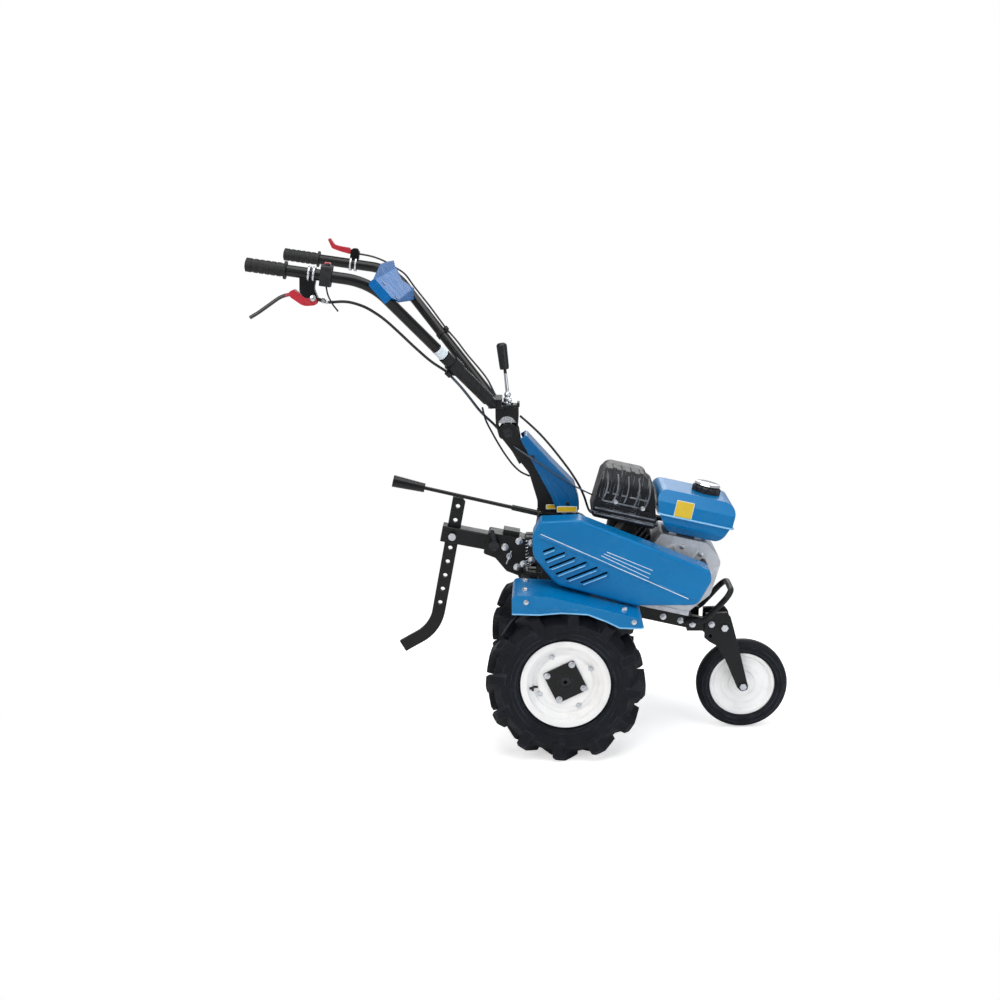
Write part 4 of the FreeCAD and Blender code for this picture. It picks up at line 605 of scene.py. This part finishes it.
def filmPatch(name, spot, along, across, size):
    # yellow film pressed on a flat face, over a narrow pale border
    along = Vector(along).normalized()
    across = Vector(across).normalized()
    out = along.cross(across)
    basis = Matrix((along, across, out)).transposed().to_4x4()
    for part, margin, lift, finish in (("", 0, filmShape["lift"], yellowFilm),
                                       ("Border", filmShape["margin"], 0.0, paleFilm)):
        bm = bmesh.new()
        scale = Matrix.Diagonal(((size[0] + margin) * mm, (size[1] + margin) * mm, filmShape["thick"] * mm, 1))
        bmesh.ops.create_cube(bm, size=1.0, matrix=Matrix.Translation(spot + out * lift * mm) @ basis @ scale)
        corners = [e for e in bm.edges if abs((e.verts[0].co - e.verts[1].co).normalized().dot(out)) > 0.9]
        roundOff(bm, corners, filmShape["corner"], filmShape["cornerSteps"])
        finishPiece(name + part, bm, finish, "chassis")


# fuel tank: blank label on the near face, welded seam lip all round painted pale as a painted highlight, crown
# of the cap
tankTrim = dict(label=(-24, 287), labelSize=(44, 42), start=-300, seamW=264, seam=2.4, capU=36, above=460,
                crown=dict(radius=35, length=5, segments=48, tip=0.86, chamfer=1.6))
spot = seatOn(["fuel_tank"], onEngine(tankTrim["label"][0], tankTrim["start"], tankTrim["label"][1]), farSide)
filmPatch("tankLabel", spot, railAlong, railUp, tankTrim["labelSize"])
bm = bmesh.new()
sweepTube(bm, seamPoints("fuel_tank", onEngine(0, 0, tankTrim["seamW"]), railUp), tankTrim["seam"])
finishPiece("tankSeam", bm, paintedHighlightBlueEnamel, "chassis")
bm = bmesh.new()
spot = seatOn(["fuel_cap"], onEngine(tankTrim["capU"], 0, tankTrim["above"]), -railUp)
addStub(bm, spot, railUp, **tankTrim["crown"])
finishPiece("capCrown", bm, chromePlate, "chassis")
print("guard and tank trim")

# muffler guard: pressed ribs and rails on the near face, painted pale grey partly as a painted highlight, bolts
mufflerTrim = dict(
    bolts=((132, 445), (203, 427)), size=6, start=-300, wire=2.4,
    ribs=(-236, -208, -180, -152, -124), ribRun=(262, 334, 6), bow=6,
    rails=((226, -250, -90), (240, -250, -90), (263, -233, -121), (286, -231, -119)), railSteps=4)
spots = [(seatOn(["muffler_guard", "cylinder"], at(x, mufflerTrim["start"], z), farSide), nearSide)
         for x, z in mufflerTrim["bolts"]]
boltRow("mufflerBolts", "chassis", spots, mufflerTrim)
bm = bmesh.new()
wires = []
for u in mufflerTrim["ribs"]:
    low, high, steps = mufflerTrim["ribRun"]
    wires.append([(u + mufflerTrim["bow"] * sin(pi * step / steps), w)
                  for step, w in enumerate(spread(low, high, steps))])
for w, low, high in mufflerTrim["rails"]:
    wires.append([(u, w) for u in spread(low, high, mufflerTrim["railSteps"])])
for wire in wires:
    points = [seatOn(["muffler_guard"], onEngine(u, mufflerTrim["start"], w), farSide) for u, w in wire]
    sweepTube(bm, points, mufflerTrim["wire"])
finishPiece("mufflerRibs", bm, ribWearAndHighlightBlack, "chassis")

# crankcase side: cover bolts round the shaft, in the open gap under the tank
shaftU, shaftW = 12, 106
caseBolts = dict(angles=(20, 60, 100, 140), ring=78, size=6, start=-140)


def roundShaft(ring, degrees, y):
    a = radians(degrees)
    return onEngine(shaftU + ring * cos(a), y, shaftW + ring * sin(a))


bm = bmesh.new()
for degrees in caseBolts["angles"]:
    start = roundShaft(caseBolts["ring"], degrees, caseBolts["start"])
    addBolt(bm, seatOn(["crankcase"], start, farSide), nearSide, caseBolts["size"])
finishPiece("caseBolts", bm, zincPlate, "chassis")

# gearbox: the flange lip where its two halves meet, bolts on both halves
gearLip = dict(y=0.3, wire=3.0)
gearBolts = dict(start=70, size=6, places=(
    (-54.52, 196), (-48.88, 117.6), (52.64, 117.6), (-47, 19.6), (47, 19.6), (-31.96, -39.2), (31.96, -39.2)))
bm = bmesh.new()
sweepTube(bm, seamPoints("gearbox", at(0, gearLip["y"], 0), farSide), gearLip["wire"])
finishPiece("gearboxLip", bm, darkCasting, "chassis")
boltRow("gearBolts", "chassis", bothSides(["gearbox"], gearBolts), gearBolts)

# starter side: housing bolts and the centre cap
starterTrim = dict(ring=94, angles=(30, 90, 150, 210, 270, 330), size=5, start=260, cap=(
    dict(radius=22, length=1.2, segments=40, tip=0.97, chamfer=0.5),
    dict(radius=9, length=3.0, segments=32, tip=0.9, chamfer=0.8)))
bm = bmesh.new()
for degrees in starterTrim["angles"]:
    start = roundShaft(starterTrim["ring"], degrees, starterTrim["start"])
    addBolt(bm, seatOn(["fan_cover"], start, nearSide), farSide, starterTrim["size"])
finishPiece("starterBolts", bm, zincPlate, "chassis")
bm = bmesh.new()
spot = seatOn(["recoil_starter"], onEngine(shaftU, starterTrim["start"], shaftW), nearSide)
addStubs(bm, spot, farSide, starterTrim["cap"])
finishPiece("starterCap", bm, zincPlate, "chassis")

# steering head: tilt nuts on both cheeks, bolts of the handlebar bracket
tiltNuts = dict(place=(-149, 28, 617), stubs=(
    dict(radius=13, length=2.0, segments=32, chamfer=0.5),
    dict(lift=1.8, radius=10.5, length=7.5, segments=6, chamfer=1.4)))
bm = bmesh.new()
x, y, z = tiltNuts["place"]
for away in (nearSide, farSide):
    addStubs(bm, at(x, away.y * y, z), away, tiltNuts["stubs"])
finishPiece("tiltNuts", bm, darkSteel, "chassis")
bracketBolts = dict(x=(-190,), y=(-36, 36), above=760, size=8, stub=2)
boltRow("bracketBolts", "handlebar", seatAbove("handle_bracket", bracketBolts), bracketBolts)

# column: foot bolts, screws of its shroud, two narrow blank films
columnBolts = dict(x=(0, 26), y=(-22.8, 22.8), above=412, size=8)
boltRow("columnBolts", "chassis", seatAbove("column", columnBolts), columnBolts)
shroudScrews = dict(places=((8, 430), (-84, 556)), start=120,
                    stub=dict(radius=5.5, length=1.4, segments=20, tip=0.9, chamfer=0.5))
bm = bmesh.new()
for spot, away in bothSides(["column_cover"], shroudScrews):
    addStub(bm, spot, away, **shroudScrews["stub"])
finishPiece("coverScrews", bm, darkSteel, "chassis")
columnFilms = dict(
    coverFilm=dict(node="column_cover", start=(6, -120, 418), move=(0, -0.6, -3), size=(50, 13),
                   slot="blue_plastic"),
    columnFilm=dict(node="column", start=(-36, -120, 418), move=(0, 0, 0), size=(24, 10), slot="black_paint"))
for name, film in columnFilms.items():
    spot = seatOn([film["node"]], at(*film["start"]), farSide) + Vector(film["move"]) * mm
    filmPatch(name, spot, (1, 0, 0), skyward, film["size"])

# hitch: bolts on its cheeks and on the gearbox flange
hitchBolts = dict(places=((-159, 309), (-121, 325), (-110, 262), (-127, 254)), start=120, size=9, stub=3)
flangeBolts = dict(hitchBolts, places=((-88, 320), (-88, 272)))
spots = bothSides(["hitch_bracket"], hitchBolts) + bothSides(["gearbox"], flangeBolts)
boltRow("hitchBolts", "chassis", spots, hitchBolts)
# clamping screw with a cross bar through its end
tommyScrew = dict(start=(-148, -120, 286), stubs=(
    dict(radius=8, length=6, segments=6, chamfer=1.0),
    dict(lift=6, radius=5, length=20, segments=20, chamfer=1.0)),
    crossOff=20, cross=(0.35, 0, 0.94), crossPoints=(-19, -17, 17, 19), crossWire=2.6, crossSides=12)
bm = bmesh.new()
spot = seatOn(["hitch_bracket"], at(*tommyScrew["start"]), farSide)
addStubs(bm, spot, nearSide, tommyScrew["stubs"])
middle = spot + nearSide * tommyScrew["crossOff"] * mm
sweepTube(bm, [middle + Vector(tommyScrew["cross"]) * share * mm for share in tommyScrew["crossPoints"]],
          tommyScrew["crossWire"], tommyScrew["crossSides"])
finishPiece("tommyScrew", bm, zincPlate, "chassis")
# latch spring beside the gearbox, on its pin
latchSpring = dict(place=(-100, -27), run=(238, 328), coil=6.5, turns=10, turnSteps=12, wire=1.3,
                   wireSides=6, pinRadius=3, pinPast=6, pinSides=12)
bm = bmesh.new()
x, y = latchSpring["place"]
low, high = latchSpring["run"]
coil = latchSpring["coil"]
steps = latchSpring["turns"] * latchSpring["turnSteps"]
points = []
for step, z in enumerate(spread(low, high, steps)):
    a = 2 * pi * step / latchSpring["turnSteps"]
    points.append(at(x + coil * cos(a), y + coil * sin(a), z))
sweepTube(bm, points, latchSpring["wire"], latchSpring["wireSides"])
addStub(bm, at(x, y, low - latchSpring["pinPast"]), skyward, latchSpring["pinRadius"],
        high - low + 2 * latchSpring["pinPast"], latchSpring["pinSides"])
finishPiece("latchSpring", bm, zincPlate, "chassis")
# ring through the far end of the stake pin
stakeRing = dict(inward=4, radius=11, wire=1.2, steps=40, wireSides=8)
bm = bmesh.new()
low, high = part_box("stake_pin")
centre = Vector(((low.x + high.x) / 2, high.y - stakeRing["inward"] * mm, (low.z + high.z) / 2))
turnedRing(bm, centre + Vector((stakeRing["radius"] * mm, 0, 0)), centre, stakeRing["wire"], stakeRing["steps"],
           stakeRing["wireSides"])
finishPiece("stakePinClip", bm, zincPlate, "chassis")
print("column and hitch dressed")

# handlebars: all of it is placed from the bars' own route, in millimetres and degrees
barRoute = dict(bend=(-474, 260, 1027), root=(-186, 38, 694), gripSlope=8.5, gripEnd=-772, gripReach=298)
bendX, bendY, bendZ = barRoute["bend"]
rootX, rootY, rootZ = barRoute["root"]
gripSlope = radians(barRoute["gripSlope"])
gripAlong = Vector((cos(gripSlope), 0, -sin(gripSlope)))
gripUp = Vector((sin(gripSlope), 0, cos(gripSlope)))
gripEnd = at(barRoute["gripEnd"], 0, bendZ + barRoute["gripReach"] * tan(gripSlope))


def onBar(side, share):
    bend = at(bendX, side * bendY, bendZ)
    root = at(rootX, side * rootY, rootZ)
    return bend.lerp(root, share), (root - bend).normalized()


def onGrip(side, x, y, z):
    return gripEnd + gripAlong * x * mm + gripUp * z * mm + farSide * (side * bendY + y) * mm


def collar(bm, spot, direction, radius, length, bore):
    # ring round a bar, its ends rounded over
    place = standing(spot, direction)
    half = length / 2
    points = [(bore, -half), (radius - 1, -half), (radius, -half + 1), (radius, half - 1), (radius - 1, half),
              (bore, half)]
    verts = [bm.verts.new(place @ Vector((r * mm, 0, h * mm))) for r, h in points]
    edges = [bm.edges.new((verts[i], verts[(i + 1) % len(verts)])) for i in range(len(verts))]
    spinRound(bm, verts, edges, spot, Vector(direction).normalized(), 40)


barFilm = dict(share=0.55, collar=dict(radius=14.7, length=28, bore=13.9))
bm = bmesh.new()
collar(bm, *onBar(-1, barFilm["share"]), **barFilm["collar"])
finishPiece("barFilm", bm, paleFilm, "handlebar")
# steel bands: one that holds the cables to the right bar, two round each clamp on the grips' bars
clampBands = dict(share=0.61, barCollar=dict(radius=16.2, length=9, bore=13.9), right=(153.5, 165.5),
                  left=(185.5, 199.5), gripCollar=dict(radius=19.2, length=5.5, bore=17.6))
bm = bmesh.new()
collar(bm, *onBar(-1, clampBands["share"]), **clampBands["barCollar"])
for side, hand in ((-1, "right"), (1, "left")):
    for x in clampBands[hand]:
        collar(bm, onGrip(side, x, 0, 0), gripAlong, **clampBands["gripCollar"])
finishPiece("clampBands", bm, zincPlate, "handlebar")
gripPlugs = dict(radius=13.5, length=2.2, segments=32, tip=0.9, chamfer=1.0)
bm = bmesh.new()
for side in (-1, 1):
    addStub(bm, onGrip(side, 0, 0, 0), -gripAlong, **gripPlugs)
finishPiece("gripPlugs", bm, gripRubber, "handlebar")
switchRocker = dict(along=195, above=90, lift=0.4, size=(14, 15, 6), edge=1.5, edgeSteps=3)
bm = bmesh.new()
spot = seatOn(["switch_box"], onGrip(-1, switchRocker["along"], 0, switchRocker["above"]), -gripUp)
basis = (Matrix.Translation(spot + gripUp * switchRocker["lift"] * mm)
         @ Matrix((gripAlong, farSide, gripUp)).transposed().to_4x4())
scale = Matrix.Diagonal([extent * mm for extent in switchRocker["size"]] + [1])
bmesh.ops.create_cube(bm, size=1.0, matrix=basis @ scale)
roundOff(bm, bm.edges[:], switchRocker["edge"], switchRocker["edgeSteps"])
finishPiece("switchRocker", bm, redEnamel, "handlebar")
# pivot bolt of the right lever, then the cable adjuster's nut and barrel
leverTrim = dict(pivot=(171, -60, -56), pivotStubs=(
    dict(radius=7.5, length=1.2, segments=28, chamfer=0.4),
    dict(lift=1, radius=4.8, length=3.2, segments=6, chamfer=0.6)),
    adjuster=(((192, 0, -60), dict(radius=6.2, length=7, segments=6, chamfer=0.6)),
              ((202, 0, -61.3), dict(radius=5.4, length=5, segments=20, tip=0.9, chamfer=0.6))))
bm = bmesh.new()
spot = seatOn(["perch_right"], onGrip(-1, *leverTrim["pivot"]), farSide)
addStubs(bm, spot, nearSide, leverTrim["pivotStubs"])
for place, stub in leverTrim["adjuster"]:
    addStub(bm, onGrip(-1, *place), gripAlong, **stub)
finishPiece("leverFittings", bm, zincPlate, "handlebar")
panelScrews = dict(run=(24, 70), y=(-215, 165), down=(0.654, 0, -0.757), off=(0.757, 0, 0.654), start=120,
                   stub=dict(radius=6, length=1.6, tip=0.85, chamfer=0.6))
coverDown = Vector(panelScrews["down"])
coverOff = Vector(panelScrews["off"])
bm = bmesh.new()
for y in panelScrews["y"]:
    for run in panelScrews["run"]:
        start = at(bendX, y, bendZ) + coverDown * run * mm + coverOff * panelScrews["start"] * mm
        addStub(bm, seatOn(["handle_cover"], start, -coverOff), coverOff, **panelScrews["stub"])
finishPiece("panelScrews", bm, darkSteel, "handlebar")
print("handlebars dressed")


def looseParts(name):
    # the closed shells of one CAD node, from back to front
    bm = bmesh.new()
    bm.from_mesh(nodes[name].data)
    bmesh.ops.remove_doubles(bm, verts=bm.verts, dist=1e-5)
    bm.verts.index_update()
    groups = []
    left = set(bm.verts)
    while left:
        stack = [left.pop()]
        group = set(stack)
        while stack:
            near = {vert for edge in stack.pop().link_edges for vert in edge.verts if vert in left}
            left -= near
            group |= near
            stack.extend(near)
        groups.append({vert.index for vert in group})
    parts = []
    for group in groups:
        part = bm.copy()
        part.verts.index_update()
        bmesh.ops.delete(part, geom=[vert for vert in part.verts if vert.index not in group], context="VERTS")
        parts.append(part)
    bm.free()
    return sorted(parts, key=lambda part: min(v.co.x for v in part.verts) + max(v.co.x for v in part.verts))


def cableLength(name, bm, split, upperBlend, lowerBlend, material):
    # upper and lower part of one cable, cut square at the split height
    pieces = []
    for part, clearOuter, blendOver in (("Upper", False, upperBlend), ("Lower", True, lowerBlend)):
        if blendOver is None:
            continue
        copy = bm.copy()
        if split is not None:
            bmesh.ops.bisect_plane(copy, geom=copy.verts[:] + copy.edges[:] + copy.faces[:],
                                   plane_co=at(0, 0, split), plane_no=skyward, clear_outer=clearOuter,
                                   clear_inner=not clearOuter)
        mesh = bpy.data.meshes.new(name + part)
        for face in copy.faces:
            face.smooth = True
        copy.to_mesh(mesh)
        copy.free()
        mesh.materials.append(material)
        piece = placed(name + part, mesh)
        if isinstance(blendOver, str):
            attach(piece, blendOver)
        else:
            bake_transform(piece)
        pieces.append(piece)
    bm.free()
    return pieces


# cables that cross the tilting head; two are split there into an upper and a lower part.
# for each: height of the split, the upper and lower part's bodies and places (a part given only a body name
# rides on it, the others stay fixed where they are), finish
cables = dict(
    clutchLead=(658, ("handlebar", "head", (-270, -104, 755), (-206, -4, 662)),
                ("head", "chassis", (-206, -4, 656), (-150, 30, 580)), spiralLead),
    stopLead=(645, ("handlebar", "head", (-212, -60, 688), (-204, -32, 648)),
              ("head", "chassis", (-204, -32, 645), (-140, -6, 530)), cableSheath),
    coverLead=(None, "chassis", None, spiralLead),
    throttleLead=(None, ("head", "chassis", (-117, -12, 660), (20, -22, 505)), None, cableSheath),
)
made = []
for name, bm in zip(cables, looseParts("lower_cables")):
    made += cableLength(name, bm, *cables[name])
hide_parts("lower_cables")
print("cables")

# camera on the tiller's right, 3.7 m off and a little higher than the handlebars; focal is in sensor widths
cameraSettings = dict(place=(-53.1, -3710.6, 1254.2), yaw=-1.84, pitch=12.51, roll=-0.49, focal=1.4204,
                      sensor=36)
yaw, pitch, roll = (radians(cameraSettings[key]) for key in ("yaw", "pitch", "roll"))
ahead = Vector((sin(yaw) * cos(pitch), cos(yaw) * cos(pitch), -sin(pitch)))
right = Vector((cos(yaw), -sin(yaw), 0))
upward = right.cross(ahead)
right, upward = (right * cos(roll) + upward * sin(roll), upward * cos(roll) - right * sin(roll))
camera = bpy.data.cameras.new("camera")
camera.sensor_width = cameraSettings["sensor"]
camera.lens = cameraSettings["focal"] * cameraSettings["sensor"]
cameraObject = placed("camera", camera)
cameraObject.matrix_world = Matrix.Translation(at(*cameraSettings["place"])) @ Matrix(
    (right, upward, -ahead)).transposed().to_4x4()
bpy.context.scene.camera = cameraObject

# matt paper floor that keeps its shadow near the wheels and fades into the white backdrop further out
floorSettings = dict(half=30, drop=0.5, colour="#ffffff", patch="#fbfbfb", size=900, glow=0.5,
                     fadeStart=0.75, fadeEnd=1.5)
bm = bmesh.new()
bmesh.ops.create_grid(bm, x_segments=1, y_segments=1, size=floorSettings["half"])
mesh = bpy.data.meshes.new("floor")
bm.to_mesh(mesh)
bm.free()
floor = placed("floor", mesh)
floor.location = (0, 0, -floorSettings["drop"] * mm)
material, tree, shader, place = newFinish("floorPaper", Roughness=0.9, Specular_IOR_Level=0.1)
mottle = mixed(tree, patches(tree, place, floorSettings["size"], "broad"), toLinear(floorSettings["colour"]),
               toLinear(floorSettings["patch"]))
tree.links.new(mottle, shader.inputs["Base Color"])
away = addNode(tree, "VectorMath", {0: place}, operation="LENGTH").outputs["Value"]
fade = addNode(tree, "MapRange", {"Value": away, "From Min": floorSettings["fadeStart"],
                                  "From Max": floorSettings["fadeEnd"]},
               interpolation_type="SMOOTHSTEP").outputs[0]
white = toLinear("#ffffff")
glow = addNode(tree, "Emission", {"Color": white, "Strength": floorSettings["glow"]})
near = addNode(tree, "AddShader", {0: shader.outputs[0], 1: glow.outputs[0]})
far = addNode(tree, "Emission", {"Color": white, "Strength": 1.0})
faded = addNode(tree, "MixShader", {0: fade, 1: near.outputs[0], 2: far.outputs[0]})
lightPath = addNode(tree, "LightPath", {})
seen = addNode(tree, "MixShader", {0: lightPath.outputs["Is Camera Ray"], 1: shader.outputs[0],
                                   2: faded.outputs[0]})
tree.links.new(seen.outputs[0], tree.nodes["Material Output"].inputs["Surface"])
mesh.materials.append(material)

# dim room that lights, white backdrop that is seen and mirrored
worldSettings = dict(room=("#f3f5f8", 0.34), mirrored=("#f7f9fb", 0.55), backdrop=("#ffffff", 1.0))
world = bpy.data.worlds.new("studio")
bpy.context.scene.world = world
world.use_nodes = True
tree = world.node_tree
lightPath = addNode(tree, "LightPath", {})
room, mirrored, backdrop = [
    addNode(tree, "Background", {"Color": toLinear(colour), "Strength": strength}).outputs[0]
    for colour, strength in worldSettings.values()]
seen = addNode(tree, "Math", {0: lightPath.outputs["Is Camera Ray"],
                              1: lightPath.outputs["Is Transmission Ray"]}, operation="MAXIMUM").outputs[0]
glossy = addNode(tree, "MixShader", {0: lightPath.outputs["Is Glossy Ray"], 1: room, 2: mirrored}).outputs[0]
surround = addNode(tree, "MixShader", {0: seen, 1: glossy, 2: backdrop}).outputs[0]
tree.links.new(surround, tree.nodes["World Output"].inputs["Surface"])

lamps = dict(
    overhead=dict(place=(0.2, -0.6, 3.4), aim=(0, 0, 0.5), size=2.6, power=68, colour="#ffffff"),
    key=dict(place=(-2.2, -3.2, 2.4), aim=(0, 0, 0.5), size=1.8, power=58, colour="#fffaf4"),
    fill=dict(place=(2.8, -2.6, 1.4), aim=(0, 0, 0.5), size=2.0, power=30, colour="#f4f8ff"),
    back=dict(place=(0.8, 3.0, 2.2), aim=(0, 0, 0.6), size=2.0, power=30, colour="#ffffff"),
)
for name, lamp in lamps.items():
    light = bpy.data.lights.new(name, "AREA")
    light.size = lamp["size"]
    light.energy = lamp["power"]
    light.color = toLinear(lamp["colour"])[:3]
    lightObject = placed(name, light)
    lightObject.location = lamp["place"]
    aim = Vector(lamp["aim"]) - Vector(lamp["place"])
    lightObject.rotation_euler = aim.to_track_quat("-Z", "Y").to_euler()
bpy.context.scene.view_settings.view_transform = "Standard"
print("camera, floor and light")
